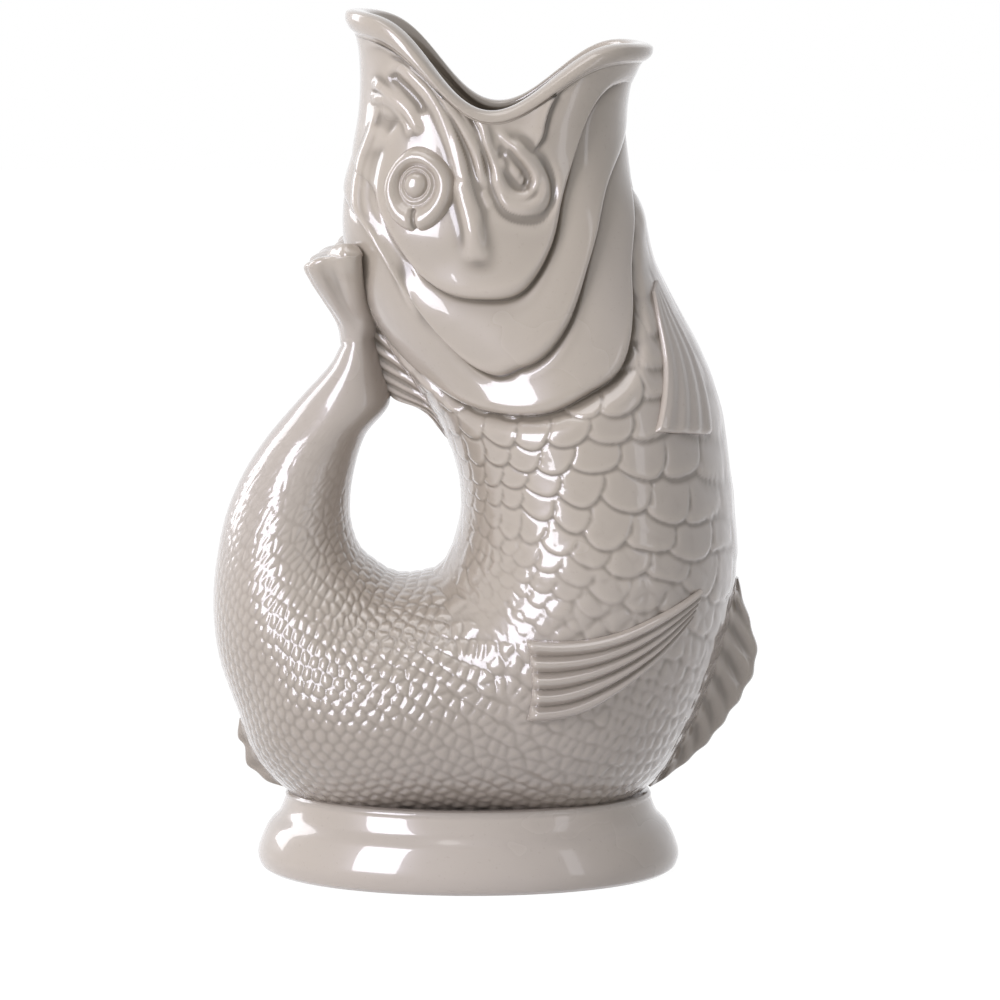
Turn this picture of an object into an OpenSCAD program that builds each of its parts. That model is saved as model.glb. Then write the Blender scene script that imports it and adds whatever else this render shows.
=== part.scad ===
// Gurgle jug in the shape of a leaping fish: the tail curls up behind the head and makes the handle,
// and the open mouth is the spout. The body is one hollow form that runs from the tip of the tail,
// round the handle hole and up to the jaws. Its cross sections are stations: each stands on two
// rails, one along the back of the fish and one along its belly, and has its own half depth.
// X runs from the handle to the pouring lip, Z is up, and the origin is under the middle of the foot.

/* [Jug] */
// Height from the table to the tip of the upper jaw
jug_h = 240; // [200:1:290]
// Length of the body from the bend of the tail to the keel of the belly
body_l = 146; // [124:1:176]
// Thickness of the body through the widest place of its flanks
body_d = 94; // [80:1:116]
// Thickness of the cast clay wall
wall = 5; // [3.6:0.1:6]

/* [Foot] */
// Length of the oval foot
foot_l = 116.4; // [104:0.1:130]
// Depth of the oval foot from front to back
foot_d = 90; // [80:1:104]
// Height of the foot up to the belly
foot_h = 22; // [18:0.5:28]
// Thickness of the floor inside the foot
floor_t = 5; // [4:0.1:7]
// Width of the ring under the foot that the jug stands on
ring_w = 9; // [6:0.5:12]
// Depth of the hollow inside that ring
ring_recess = 1.6; // [0.8:0.1:2.4]

/* [Head] */
// Depth of the notch between the jaws at the corners of the mouth
jaw_dip = 19.6; // [12:0.2:26]
// How far each gill plate stands proud of what lies behind it
gill_step = 1.8; // [0.8:0.1:2.2]
// How far the rolled lip stands proud of the jaws
lip_roll = 1.3; // [0.6:0.1:2]
// Height of the rounded top of the lip
lip_crown = 1.6; // [0.8:0.1:2.4]
// Width of the ring round the eye
eye_w = 17.4; // [15:0.2:18]
// Height of the ring round the eye
eye_h = 23; // [18:0.5:26]
// How far the eyeball stands proud of the cheek
eye_proud = 2.8; // [1.6:0.1:4]
// Width of the brow ridge
brow_w = 5; // [4:0.2:5.6]
// How far the brow ridge stands proud
brow_proud = 2; // [1:0.1:3]
// Width of the fold round the corner of the mouth
fold_w = 4.4; // [3:0.2:5.4]
// How far that fold stands proud
fold_proud = 2; // [1:0.1:3]

/* [Fins] */
// How far the belly fin stands out from the keel
belly_fin_h = 10.4; // [6:0.2:14]
// Ribs in the belly fin
belly_fin_ribs = 9; // [6:1:11]
// How far the fin behind the foot stands out
rear_fin_h = 4.2; // [2:0.2:6]
// How far the back fin stands out under the head
back_fin_h = 2.2; // [1.2:0.1:3.2]
// Ribs in the back fin
back_fin_ribs = 8; // [5:1:9]
// How far the free edge of a side fin stands off the flank
side_fin_proud = 3.4; // [2:0.1:5]
// Ribs in each side fin
side_fin_ribs = 5; // [4:1:6]
// How far the free edge of a throat fin stands off the throat
throat_fin_proud = 2.4; // [1.4:0.1:4]
// Width of the tail fin across its two lobes
tail_fin_w = 50; // [40:1:60]
// Depth of the cleft between the lobes of the tail fin
tail_cleft = 9; // [4:0.5:13]

/* [Hidden] */

clay = "#b8aea3";
shade_clay = "#ada297";
light_clay = "#c3bab0";

// Height of the fish above its foot
body_h = jug_h - foot_h;
// Gap that keeps a fin's bed of facets off the facets of the skin under it
bed = 0.12;
// Thickness of the thin edge of a fin that lies on the skin, and of a ridge
fin_edge = 0.6;
ridge_edge = 0.12;
// Part of a station over which a direction on the skin is measured
nudge = 0.1;
// Overrun of a cut past the face that it opens
over = 1;
// Sides of a ring of the tail, the belly and the head
tail_sides = 28;
belly_sides = 40;
foot_sides = 240;
head_sides = 56;

// Stations from the tip of the tail to the jaws, as shares: back rail x, z and belly rail x, z,
// with x a share of body_l and z a share of body_h, and the half depth as a share of half body_d
station_shares = [
    [-0.174, 0.579, -0.246, 0.570, 0.19],
    [-0.160, 0.543, -0.271, 0.543, 0.21],
    [-0.155, 0.497, -0.324, 0.499, 0.26],
    [-0.197, 0.454, -0.385, 0.450, 0.32],
    [-0.219, 0.403, -0.433, 0.399, 0.38],
    [-0.225, 0.358, -0.466, 0.339, 0.47],
    [-0.217, 0.328, -0.488, 0.255, 0.55],
    [-0.202, 0.308, -0.487, 0.178, 0.64],
    [-0.177, 0.291, -0.454, 0.107, 0.72],
    [-0.155, 0.281, -0.401, 0.030, 0.81],
    [-0.132, 0.276, -0.275, -0.030, 0.89],
    [-0.109, 0.276, -0.093, -0.047, 0.94],
    [-0.084, 0.279, 0.097, -0.047, 0.96],
    [-0.063, 0.287, 0.250, -0.030, 0.98],
    [-0.044, 0.299, 0.355, 0.017, 1.00],
    [-0.031, 0.317, 0.422, 0.082, 1.00],
    [-0.021, 0.339, 0.467, 0.152, 1.00],
    [-0.015, 0.364, 0.496, 0.229, 1.00],
    [-0.015, 0.390, 0.509, 0.294, 0.98],
    [-0.021, 0.412, 0.507, 0.358, 0.96],
    [-0.036, 0.441, 0.496, 0.428, 0.94],
    [-0.059, 0.476, 0.479, 0.499, 0.91],
    [-0.093, 0.511, 0.445, 0.563, 0.87],
    [-0.137, 0.554, 0.397, 0.628, 0.85],
    [-0.181, 0.605, 0.361, 0.682, 0.83],
    [-0.219, 0.660, 0.338, 0.737, 0.79],
    [-0.238, 0.711, 0.313, 0.782, 0.77],
    [-0.235, 0.769, 0.303, 0.820, 0.72],
    [-0.219, 0.820, 0.301, 0.861, 0.70],
    [-0.210, 0.878, 0.305, 0.900, 0.68],
    [-0.212, 0.949, 0.317, 0.928, 0.66],
    [-0.231, 0.995, 0.338, 0.955, 0.64]
];
last_station = len(station_shares) - 1;
// Station where the tail meets the belly
tail_root = 6;
// Stations over which the notch of the mouth deepens
dip_start = 24;
dip_growth = 1.6;
dip_sharpness = 7.4;
// Stations over which the sections turn from oval to flat-sided
flat_start = 20;
flat_run = 4;
flat_share = 0.15;

// Edges that run round the head, as stations at every 20 degrees from the throat to the back
edge_pitch = 20;
gill_outer = [26.1, 24.8, 23.15, 22.15, 21.7, 21.35, 21.38, 21.8, 23.1, 24.2];
gill_middle = [27.6, 26.65, 25.3, 23.8, 22.88, 22.48, 22.7, 25.8, 26.6, 27];
gill_inner = [29.3, 29.4, 28.5, 25.55, 24.18, 24.07, 24.7, 26.9, 27.6, 28];
lip_edge = [30.3, 30.3, 30.25, 29.75, 28.7, 29.9, 30.2, 30.3, 30.35, 30.4];
// How much of its step each plate keeps at those places
middle_step_shares = [0.3, 0.7, 1, 1, 1, 1, 1, 0.5, 0.3, 0.2];
inner_step_shares = [0.2, 0.5, 1, 1, 1, 1, 0.6, 0.2, 0.1, 0.1];
// Part of a station over which a plate steps down
step_run = 0.1;

// Part of the wall that the thin tail keeps
tail_wall_share = 0.8;
// Tail fin from the tip of the tail upward: station of the head's back that its inner face lies on,
// outer face x and z and half width, as shares of body_l, body_h and half tail_fin_w
tail_fin_stations = [
    [24, -0.246, 0.570, 0.36],
    [24.05, -0.255, 0.597, 0.45],
    [24.4, -0.280, 0.630, 0.62],
    [24.9, -0.303, 0.658, 0.81],
    [25.35, -0.315, 0.681, 0.96],
    [25.7, -0.301, 0.696, 1],
    [25.85, -0.269, 0.705, 0.9]
];
tail_fin_sides = 40;
tail_fin_corner_share = 0.4;
// Depth of the grooves between the rays of the tail fin
tail_fin_groove = 0.8;
// Stations between which each keel fin runs, and how far it spreads to each side of its rail
belly_fin_span = [13.8, 17.7];
belly_fin_half_angle = 15;
rear_fin_span = [8.2, 9.4];
rear_fin_half_angle = 17;
back_fin_span = [21.2, 23.7];
back_fin_half_angle = 26;
keel_sharpness = 1.2;
// Outlines of the keel fins, as shares of their heights
belly_fin_shares = [0.08, 0.28, 0.55, 0.78, 0.88, 0.95, 1, 0.95, 0.6, 0.25, 0.04];
rear_fin_shares = [0.1, 0.75, 0.5, 1, 0.7, 0.6, 0.1];
// Edges of the fins that lie on the skin, from root to free edge, as station and angle
side_fin_top = [[17.55, 40], [16.6, 64], [15.7, 84], [14.72, 105]];
side_fin_foot = [[16.9, 44], [15.7, 58.5], [14.5, 70], [13.15, 83.5]];
throat_fin_inside = [[24, 22], [22.6, 36], [21.1, 44]];
throat_fin_outside = [[24.4, 8], [22.6, 12], [21, 22]];
// Station and angle of the middle of the eye, and its section as shares of its radius and height
eye_t = 27.4;
eye_a = 121;
eye_sides = 24;
eye_section_shares = [
    [0.2, 0.97], [0.36, 0.7], [0.42, 0.28], [0.52, 0.6], [0.68, 0.82], [0.84, 0.7], [0.95, 0.4], [1, 0.1]
];

// Middle lines of the brow and of the fold at the corner of the mouth, as station and angle
brow_line = [[29.75, 143], [29.6, 129], [29.3, 117], [28.6, 107], [27.3, 100], [26.1, 96], [25.2, 97]];
fold_line = [
    [29.3, 90], [28.4, 88], [27.5, 85], [26.7, 81],
    [26.45, 75], [26.8, 69], [27.6, 70], [28.5, 76], [29, 82]
];

// Profile of the foot from the seat of the belly to the table, as shares: how far it draws in from
// the widest place as a share of foot_l, and its height as a share of foot_h
foot_profile_shares = [
    [0.071, 1], [0.066, 0.96], [0.065, 0.9], [0.052, 0.73], [0.026, 0.57], [0.008, 0.37],
    [0, 0.2], [0.007, 0.06], [0.022, 0]
];

// Smooth curve through the rows of a table, at a place u between its rows
function clamp(x, low, high) = max(low, min(high, x));
function curve(p0, p1, p2, p3, u) =
    (2 * p1 + (p2 - p0) * u + (2 * p0 - 5 * p1 + 4 * p2 - p3) * u * u
    + (3 * p1 - p0 - 3 * p2 + p3) * u * u * u) / 2;
function spline(table, u) =
    let (
        i = clamp(floor(u), 0, len(table) - 2),
        p1 = table[i],
        p2 = table[i + 1],
        p0 = i > 0 ? table[i - 1] : 2 * p1 - p2,
        p3 = i + 2 < len(table) ? table[i + 2] : 2 * p2 - p1
    )
    curve(p0, p1, p2, p3, clamp(u, 0, len(table) - 1) - i);

// Angle round a section, folded to the half from the belly, 0, to the back, 180
function fold(a) = let (b = (a % 360 + 360) % 360) b > 180 ? 360 - b : b;
function edge(table, a) = spline(table, fold(a) / edge_pitch);

// Rails and half depth at a station
function station(t) =
    let (s = spline(station_shares, t))
    [
        [s[0] * body_l, foot_h + s[1] * body_h],
        [s[2] * body_l, foot_h + s[3] * body_h],
        s[4] * body_d / 2
    ];

// How far a section dips at its flanks, where the mouth is cut down between the jaws
function dip(t, a) =
    jaw_dip * pow(clamp((t - dip_start) / (last_station - dip_start), 0, 1), dip_growth)
    * pow(abs(sin(a)), dip_sharpness);

// Point of the skin at station t and angle a, sunk by depth, moved out from the belly rail's side
// by stand and up along the fish by rise
function skin(t, a, depth = 0, stand = 0, rise = 0) =
    let (
        s = station(t),
        reach = s[1] - s[0],
        half = norm(reach) / 2,
        out = reach / norm(reach),
        along = [-out[1], out[0]],
        flat = 1 - flat_share * clamp((t - flat_start) / flat_run, 0, 1),
        n = [s[2] * cos(a), half * sin(a)],
        u = half * cos(a) - depth * n[0] / norm(n) + stand,
        y = s[2] * sign(sin(a)) * pow(abs(sin(a)), flat) - depth * n[1] / norm(n),
        p = (s[0] + s[1]) / 2 + u * out + (rise - dip(t, a)) * along
    )
    [p[0], y, p[1]];

// Millimetres of skin per station and per degree at a place
function skin_scale(t, a) = [
    norm(skin(t + nudge, a) - skin(t - nudge, a)) / (2 * nudge),
    norm(skin(t, a + 1) - skin(t, a - 1)) / 2
];

// Station at share u of the way between two edges, at angle a
function between(low, high, a, u) = edge(low, a) + (edge(high, a) - edge(low, a)) * u;
function ring(sides, t, depth = 0) = [for (j = [0 : sides - 1]) skin(t, 360 * j / sides, depth)];
function edge_ring(sides, low, high, u, depth = 0, rise = 0) = [
    for (j = [0 : sides - 1])
        let (a = 360 * j / sides)
        skin(between(low, high, a, u), a, depth, rise = rise)
];
function level(t) = [for (v = gill_outer) t];
// Middle of a section, and of a ring
function middle(t) = (skin(t, 0) + skin(t, 180)) / 2;
function center(ring) = [for (i = [0 : 2]) (max([for (p = ring) p[i]]) + min([for (p = ring) p[i]])) / 2];

// Triangles of the bands between rings of n points, the last joined to the first if looped
function bands(n, rings, looped = false) = [
    for (i = [0 : rings - (looped ? 1 : 2)], j = [0 : n - 1])
        let (
            k = (i + 1) % rings,
            m = (j + 1) % n
        )
        each [
            [i * n + j, k * n + m, i * n + m],
            [i * n + j, k * n + j, k * n + m]
        ]
];

// Solid whose rings run up the outside and down the inside
module looped_solid(rings) {
    polyhedron([for (r = rings) each r], bands(len(rings[0]), len(rings), true));
}

// Solid whose rings run from one pole to another
module pole_solid(first, rings, last) {
    n = len(rings[0]);
    k = len(rings);
    caps = [
        for (j = [0 : n - 1])
            let (m = (j + 1) % n)
            each [
                [k * n, j, m],
                [k * n + 1, (k - 1) * n + m, (k - 1) * n + j]
            ]
    ];
    polyhedron(concat([for (r = rings) each r], [first, last]), concat(bands(n, k), caps));
}

// Solid between a bed and a top, both given as rows of points
module sheet_solid(bed_rows, top_rows) {
    m = len(top_rows[0]);
    n = 2 * m;
    k = len(top_rows);
    loops = [
        for (i = [0 : k - 1])
            concat([for (j = [0 : m - 1]) top_rows[i][j]], [for (j = [m - 1 : -1 : 0]) bed_rows[i][j]])
    ];
    ends = [
        for (j = [0 : m - 2])
            let (
                q = (k - 1) * n + j,
                r = (k - 1) * n + n - 1 - j
            )
            each [
                [j, j + 1, n - 2 - j],
                [j, n - 2 - j, n - 1 - j],
                [q, r - 1, q + 1],
                [q, r, r - 1]
            ]
    ];
    polyhedron([for (r = loops) each r], concat(bands(n, k), ends));
}

// Fin that lies on the skin. place gives the station and angle at shares u and v of its rows and
// columns, and lift how far it stands off the skin there.
module skin_fin(rows, columns, place, lift) {
    cells = [for (i = [0 : rows]) [for (j = [0 : columns]) [i / rows, j / columns]]];
    bed_rows = [for (r = cells) [for (c = r) let (p = place(c[0], c[1])) skin(p[0], p[1], -bed)]];
    top_rows = [
        for (r = cells) [
            for (c = r)
                let (p = place(c[0], c[1]))
                skin(p[0], p[1], -bed - lift(c[0], c[1]))
        ]
    ];
    sheet_solid(bed_rows, top_rows);
}

// Fin that stands on a rail over a span of stations, and over half_angle to each side of the rail
// at angle rail. height is how far it stands out at a share of its length.
module keel_fin(span, rail, half_angle, rows, columns, height) {
    out_sign = cos(rail);
    function angle(v) = rail + half_angle * (2 * v - 1);
    function stand(u, v) = out_sign * height(u, v) * pow(1 - abs(2 * v - 1), keel_sharpness);
    stations = [for (i = [0 : rows]) mix(span[0], span[1], i / rows)];
    bed_rows = [for (t = stations) [for (j = [0 : columns]) skin(t, angle(j / columns), -bed)]];
    top_rows = [
        for (i = [0 : rows]) [
            for (j = [0 : columns])
                skin(stations[i], angle(j / columns), -bed - fin_edge, stand(i / rows, j / columns))
        ]
    ];
    sheet_solid(bed_rows, top_rows);
}

// Ribs across a fin, from 0 in a groove to 1 on a rib
function ribs(count, u) = (1 - cos(360 * count * u)) / 2;
function smooth(x) = let (c = clamp(x, 0, 1)) c * c * (3 - 2 * c);

// Oval plinth, hollow from the belly down to its floor, with a shallow recess in its underside
module foot() {
    half = foot_l / 2;
    ceiling = ring_recess + floor_t;
    function outline(inset) = [
        for (p = foot_profile_shares) [half - p[0] * foot_l - inset, p[1] * foot_h]
    ];
    module oval(points) {
        scale([1, foot_d / foot_l, 1])
            rotate_extrude($fn = foot_sides)
                polygon(points);
    }
    outside = outline(0);
    inside = outline(wall);
    edge_r = outside[len(outside) - 1][0];
    color(clay)
        difference() {
            intersection() {
                oval(concat([[0, foot_h + over], [outside[0][0], foot_h + over]], outside,
                    [[edge_r, -over], [0, -over]]));
                translate([-foot_l, -foot_l, 0])
                    cube([2 * foot_l, 2 * foot_l, foot_h]);
            }
            oval(concat([[0, foot_h + over], [inside[0][0], foot_h + over]],
                [for (p = inside) if (p[1] > ceiling) p],
                [[half - 2 * wall, ceiling], [0, ceiling]]));
            oval([[0, -over], [edge_r - ring_w, -over], [edge_r - ring_w, ring_recess], [0, ring_recess]]);
        }
}

// Hollow belly from the root of the tail to the edge of the gill covers, open onto the foot
module belly() {
    outer = concat(
        [for (t = [tail_root, 6.8, 7.6, 8.3, 9, 9.6, 10.2, 11, 12, 13, 13.7, 14.4, 15.2, 16, 17, 18, 19])
            ring(belly_sides, t)],
        [for (u = [0.16, 0.32, 0.48, 0.62, 0.75, 0.87, 0.96])
            edge_ring(belly_sides, level(19), gill_outer, u)],
        [edge_ring(belly_sides, level(19), gill_outer, 1, gill_step)]
    );
    inner = concat(
        [edge_ring(belly_sides, level(19), gill_outer, 1, wall)],
        [for (t = [20, 18, 16, 14.5, 13, 11.5, 10, 9, 8, tail_root]) ring(belly_sides, t, wall)]
    );
    color(clay)
        difference() {
            looped_solid(concat(outer, inner));
            translate([-body_l, -body_d, -body_h])
                cube([2 * body_l, 2 * body_d, body_h + foot_h]);
        }
}

// Hollow tail, closed at its tip
module tail() {
    outer = [for (t = [0, 0.7, 1.4, 2.1, 2.8, 3.5, 4.2, 5, tail_root]) ring(tail_sides, t)];
    inner = [for (t = [tail_root, 4.6, 3.2, 2.2, 1.5]) ring(tail_sides, t, wall * tail_wall_share)];
    color(clay)
        pole_solid(middle(0), concat(outer, inner), middle(1.3));
}

// Fish tail fin that closes the tip of the tail and lies flat against the back of the head
module tail_fin() {
    rings = [
        for (i = [0 : len(tail_fin_stations) - 1])
            let (
                s = tail_fin_stations[i],
                share = i / (len(tail_fin_stations) - 1),
                inner = i == 0 ? skin(0, 180) : skin(s[0], 180, -bed),
                outer = [s[1] * body_l, 0, foot_h + s[2] * body_h],
                reach = outer - inner,
                half = norm(reach) / 2,
                out = reach / norm(reach),
                along = [-out[2], 0, out[0]],
                wide = s[3] * tail_fin_w / 2,
                corner = 1 - tail_fin_corner_share * smooth(2 * share)
            )
            [
                for (j = [0 : tail_fin_sides - 1])
                    let (
                        a = 360 * j / tail_fin_sides,
                        v = sign(sin(a)) * pow(abs(sin(a)), corner),
                        u = sign(cos(a)) * pow(abs(cos(a)), corner),
                        groove = cos(a) > 0 ? tail_fin_groove * smooth(2 * share) * (1 - ribs(3, v)) : 0,
                        drop = tail_cleft * pow(share, 3) * pow(1 - abs(v), 1.5)
                    )
                    (inner + outer) / 2 + (half * u - groove) * out + [0, wide * v, 0] - drop * along
            ]
    ];
    n = len(rings) - 1;
    color(shade_clay)
        pole_solid(center(rings[0]), rings, center(rings[n]));
}

// Head from the edge of the gill covers to the lips, with three gill plates that step down
module head() {
    outer = concat(
        plate(gill_outer, gill_middle, middle_step_shares, [0, 0.3, 0.6, 0.88]),
        plate(gill_middle, gill_inner, inner_step_shares, [0, 0.3, 0.6, 0.88]),
        [for (u = [0, 0.12, 0.25, 0.4, 0.55, 0.7, 0.85, 1])
            edge_ring(head_sides, gill_inner, lip_edge, u)]
    );
    inner = [for (u = [1, 0.7, 0.4, 0.15]) edge_ring(head_sides, gill_middle, lip_edge, u, wall)];
    color(clay)
        looped_solid(concat(outer, inner, [
            edge_ring(head_sides, gill_outer, gill_outer, 0, wall),
            edge_ring(head_sides, gill_outer, gill_outer, 0, gill_step)
        ]));
}

// Rings of one gill plate, from its free edge to just under the next plate
function plate(low, high, step_shares, shares) = [
    for (u = concat(shares, [1]))
        [
            for (j = [0 : head_sides - 1])
                let (
                    a = 360 * j / head_sides,
                    t = edge(low, a) + (edge(high, a) - step_run - edge(low, a)) * u
                )
                skin(t, a, gill_step * edge(step_shares, a) * u)
        ]
];

// Rolled lip round the mouth
module lips() {
    color(light_clay)
        looped_solid([
            for (s = lip_section())
                edge_ring(head_sides, lip_edge, level(last_station), s[0], s[1], s[2])
        ]);
}

// Section of the lip: place between its foot and the rim, depth under the skin, and rise
function lip_section() = [
    [0, 0, 0], [0.3, -0.8 * lip_roll, 0], [0.75, -lip_roll, 0], [1, -0.5 * lip_roll, 0.55 * lip_crown],
    [1, 0.5 * wall, lip_crown], [1, wall, 0.5 * lip_crown], [0.7, wall + 0.4 * lip_roll, 0], [0, wall, 0]
];

// Low fin along the back, between the head and the handle hole
module back_fin() {
    function height(u, v) =
        back_fin_h * smooth(6 * u) * smooth(6 * (1 - u))
        * mix(0.4, 1, ribs(back_fin_ribs, u + 0.5 * fan(v)));
    color(shade_clay)
        keel_fin(back_fin_span, 180, back_fin_half_angle, 4 * back_fin_ribs, 6, function(u, v) height(u, v));
}

// Ribbed fin along the keel of the belly
module belly_fin() {
    function height(u, v) =
        belly_fin_h * spline(belly_fin_shares, u * (len(belly_fin_shares) - 1))
        * (0.84 + 0.16 * ribs(belly_fin_ribs, u - 0.06 * fan(v)));
    color(shade_clay)
        keel_fin(belly_fin_span, 0, belly_fin_half_angle, 4 * belly_fin_ribs, 6, function(u, v) height(u, v));
}

// Small lobed fin low on the outside of the tail
module rear_fin() {
    function height(u, v) = rear_fin_h * spline(rear_fin_shares, u * (len(rear_fin_shares) - 1));
    color(shade_clay)
        keel_fin(rear_fin_span, 0, rear_fin_half_angle, 12, 6, function(u, v) height(u, v));
}

function fan(v) = abs(2 * v - 1);
function mix(a, b, u) = a + (b - a) * u;
function along_curve(points, u) = spline(points, u * (len(points) - 1));

// Side fin whose ribs spread from its root on the flank, seen on the left of the fish
module side_fin() {
    place = function(u, v) mix(along_curve(side_fin_top, u), along_curve(side_fin_foot, u), v);
    lift = function(u, v)
        fin_edge + side_fin_proud * (0.2 + 0.8 * u) * (0.55 + 0.45 * ribs(side_fin_ribs, v));
    skin_fin(8, 4 * side_fin_ribs, place, lift);
}

// Leaf-shaped fin that lies along the throat
module throat_fin() {
    place = function(u, v) mix(along_curve(throat_fin_inside, u), along_curve(throat_fin_outside, u), v);
    lift = function(u, v) fin_edge + throat_fin_proud * (0.25 + 0.75 * u) * (0.6 + 0.4 * ribs(3, v));
    skin_fin(6, 12, place, lift);
}

// Eyeball in its ring, lying on the cheek
module eye() {
    grain = skin_scale(eye_t, eye_a);
    function round_eye(r, depth) = [
        for (j = [0 : eye_sides - 1])
            let (b = 360 * j / eye_sides)
            skin(
                eye_t + r * eye_h / 2 * sin(b) / grain[0],
                eye_a - r * eye_w / 2 * cos(b) / grain[1],
                depth
            )
    ];
    rings = concat(
        [for (s = eye_section_shares) round_eye(s[0], -bed - s[1] * eye_proud)],
        [for (r = [1, 0.5]) round_eye(r, -bed)]
    );
    pole_solid(skin(eye_t, eye_a, -bed - eye_proud), rings, skin(eye_t, eye_a, -bed));
}

// Rounded ridge that follows a line on the skin and tapers at its ends
module ridge(line, wide, proud, rows) {
    function place(u) = along_curve(line, u);
    function side(u, w) =
        let (
            p = place(u),
            grain = skin_scale(p[0], p[1]),
            run = place(min(1, u + nudge / 10)) - place(max(0, u - nudge / 10)),
            q = [-run[1] * grain[1], run[0] * grain[0]]
        )
        p + w * [q[0] / grain[0], q[1] / grain[1]] / norm(q);
    taper = function(u) smooth(5 * u) * smooth(5 * (1 - u));
    skin_fin(rows, 4,
        function(u, v) side(u, wide * (v - 0.5) * mix(0.4, 1, taper(u))),
        function(u, v) ridge_edge + proud * (1 - pow(2 * v - 1, 2)) * mix(0.15, 1, taper(u)));
}

module brow() { ridge(brow_line, brow_w, brow_proud, 14); }
module mouth_fold() { ridge(fold_line, fold_w, fold_proud, 20); }

module right() {
    mirror([0, 1, 0])
        children();
}

module side_fin_left() { color(shade_clay) side_fin(); }
module side_fin_right() { color(shade_clay) right() side_fin(); }
module throat_fin_left() { color(shade_clay) throat_fin(); }
module throat_fin_right() { color(shade_clay) right() throat_fin(); }
module eye_left() { color(light_clay) eye(); }
module eye_right() { color(light_clay) right() eye(); }
module brow_left() { color(clay) brow(); }
module brow_right() { color(clay) right() brow(); }
module mouth_fold_left() { color(light_clay) mouth_fold(); }
module mouth_fold_right() { color(light_clay) right() mouth_fold(); }

foot();
belly();
tail();
tail_fin();
head();
lips();
back_fin();
belly_fin();
rear_fin();
side_fin_left();
side_fin_right();
throat_fin_left();
throat_fin_right();
eye_left();
eye_right();
brow_left();
brow_right();
mouth_fold_left();
mouth_fold_right();
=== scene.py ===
"""Glazed stoneware gurgle jug in the shape of a leaping fish.

The skin of the fish is one family of sections that stand on a rail along its back and a rail along
its belly. A place on it is a station along the fish and an angle round it: 0 on the belly rail, 90 on
the left flank, 180 on the back rail. Scales, gill covers, folds and fins are all worked on that skin.
"""
import functools
import math

import bmesh
import bpy
import numpy as np
from bpy.props import FloatProperty, FloatVectorProperty, IntProperty, PointerProperty
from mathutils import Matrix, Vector


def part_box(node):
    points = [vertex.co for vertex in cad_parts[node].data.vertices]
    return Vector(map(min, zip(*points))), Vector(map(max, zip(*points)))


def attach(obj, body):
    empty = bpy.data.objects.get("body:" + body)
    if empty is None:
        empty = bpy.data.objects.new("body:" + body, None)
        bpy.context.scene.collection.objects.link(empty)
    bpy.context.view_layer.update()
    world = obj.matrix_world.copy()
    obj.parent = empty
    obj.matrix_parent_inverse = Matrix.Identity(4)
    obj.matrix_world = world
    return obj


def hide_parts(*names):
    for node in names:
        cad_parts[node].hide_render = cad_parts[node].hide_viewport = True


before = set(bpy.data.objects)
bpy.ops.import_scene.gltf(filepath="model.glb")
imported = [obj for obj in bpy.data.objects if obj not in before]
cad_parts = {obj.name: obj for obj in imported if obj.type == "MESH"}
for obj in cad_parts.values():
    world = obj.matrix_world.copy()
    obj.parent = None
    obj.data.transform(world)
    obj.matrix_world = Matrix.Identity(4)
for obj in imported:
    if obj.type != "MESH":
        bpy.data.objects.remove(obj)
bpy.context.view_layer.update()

bl_info = {
    "name": "Gurgle Jug",
    "version": (1, 0, 0),
    "blender": (4, 5, 0),
    "location": "View3D > Sidebar > Jug",
    "description": "Builds a scaled fish jug with a pearly glaze and its stage",
    "category": "Add Mesh",
}

MM = 0.001
BODY = "root"

# Stations from the tip of the tail to the jaws: back rail x, z and belly rail x, z, with x a share of
# the body's length and z a share of its height, and the half depth as a share of half its depth
STATION_SHARES = np.array([
    [-0.173, 0.579, -0.241, 0.570, 0.19],
    [-0.161, 0.543, -0.264, 0.543, 0.21],
    [-0.148, 0.497, -0.323, 0.499, 0.26],
    [-0.195, 0.454, -0.385, 0.450, 0.32],
    [-0.218, 0.403, -0.433, 0.399, 0.38],
    [-0.224, 0.358, -0.467, 0.339, 0.47],
    [-0.216, 0.328, -0.486, 0.255, 0.55],
    [-0.201, 0.308, -0.478, 0.178, 0.64],
    [-0.176, 0.294, -0.443, 0.107, 0.72],
    [-0.154, 0.284, -0.393, 0.030, 0.81],
    [-0.131, 0.279, -0.268, -0.030, 0.89],
    [-0.108, 0.279, -0.086, -0.047, 0.94],
    [-0.083, 0.282, 0.104, -0.047, 0.96],
    [-0.062, 0.287, 0.257, -0.030, 0.98],
    [-0.044, 0.299, 0.362, 0.017, 1.00],
    [-0.031, 0.317, 0.425, 0.082, 1.00],
    [-0.021, 0.339, 0.471, 0.152, 1.00],
    [-0.015, 0.364, 0.501, 0.229, 1.00],
    [-0.015, 0.390, 0.514, 0.294, 0.98],
    [-0.020, 0.412, 0.510, 0.358, 0.96],
    [-0.033, 0.441, 0.498, 0.428, 0.94],
    [-0.056, 0.476, 0.480, 0.499, 0.91],
    [-0.089, 0.511, 0.445, 0.563, 0.87],
    [-0.135, 0.554, 0.393, 0.628, 0.85],
    [-0.180, 0.605, 0.354, 0.682, 0.83],
    [-0.218, 0.660, 0.336, 0.737, 0.79],
    [-0.238, 0.711, 0.311, 0.782, 0.77],
    [-0.236, 0.769, 0.303, 0.820, 0.72],
    [-0.218, 0.820, 0.301, 0.861, 0.70],
    [-0.204, 0.878, 0.308, 0.894, 0.68],
    [-0.205, 0.944, 0.322, 0.920, 0.66],
    [-0.224, 0.989, 0.343, 0.945, 0.64],
])
# How far the sections reach along and across, as shares of the body's length and depth
LENGTH_REACH, DEPTH_REACH = 0.99856, 1.0015
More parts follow.
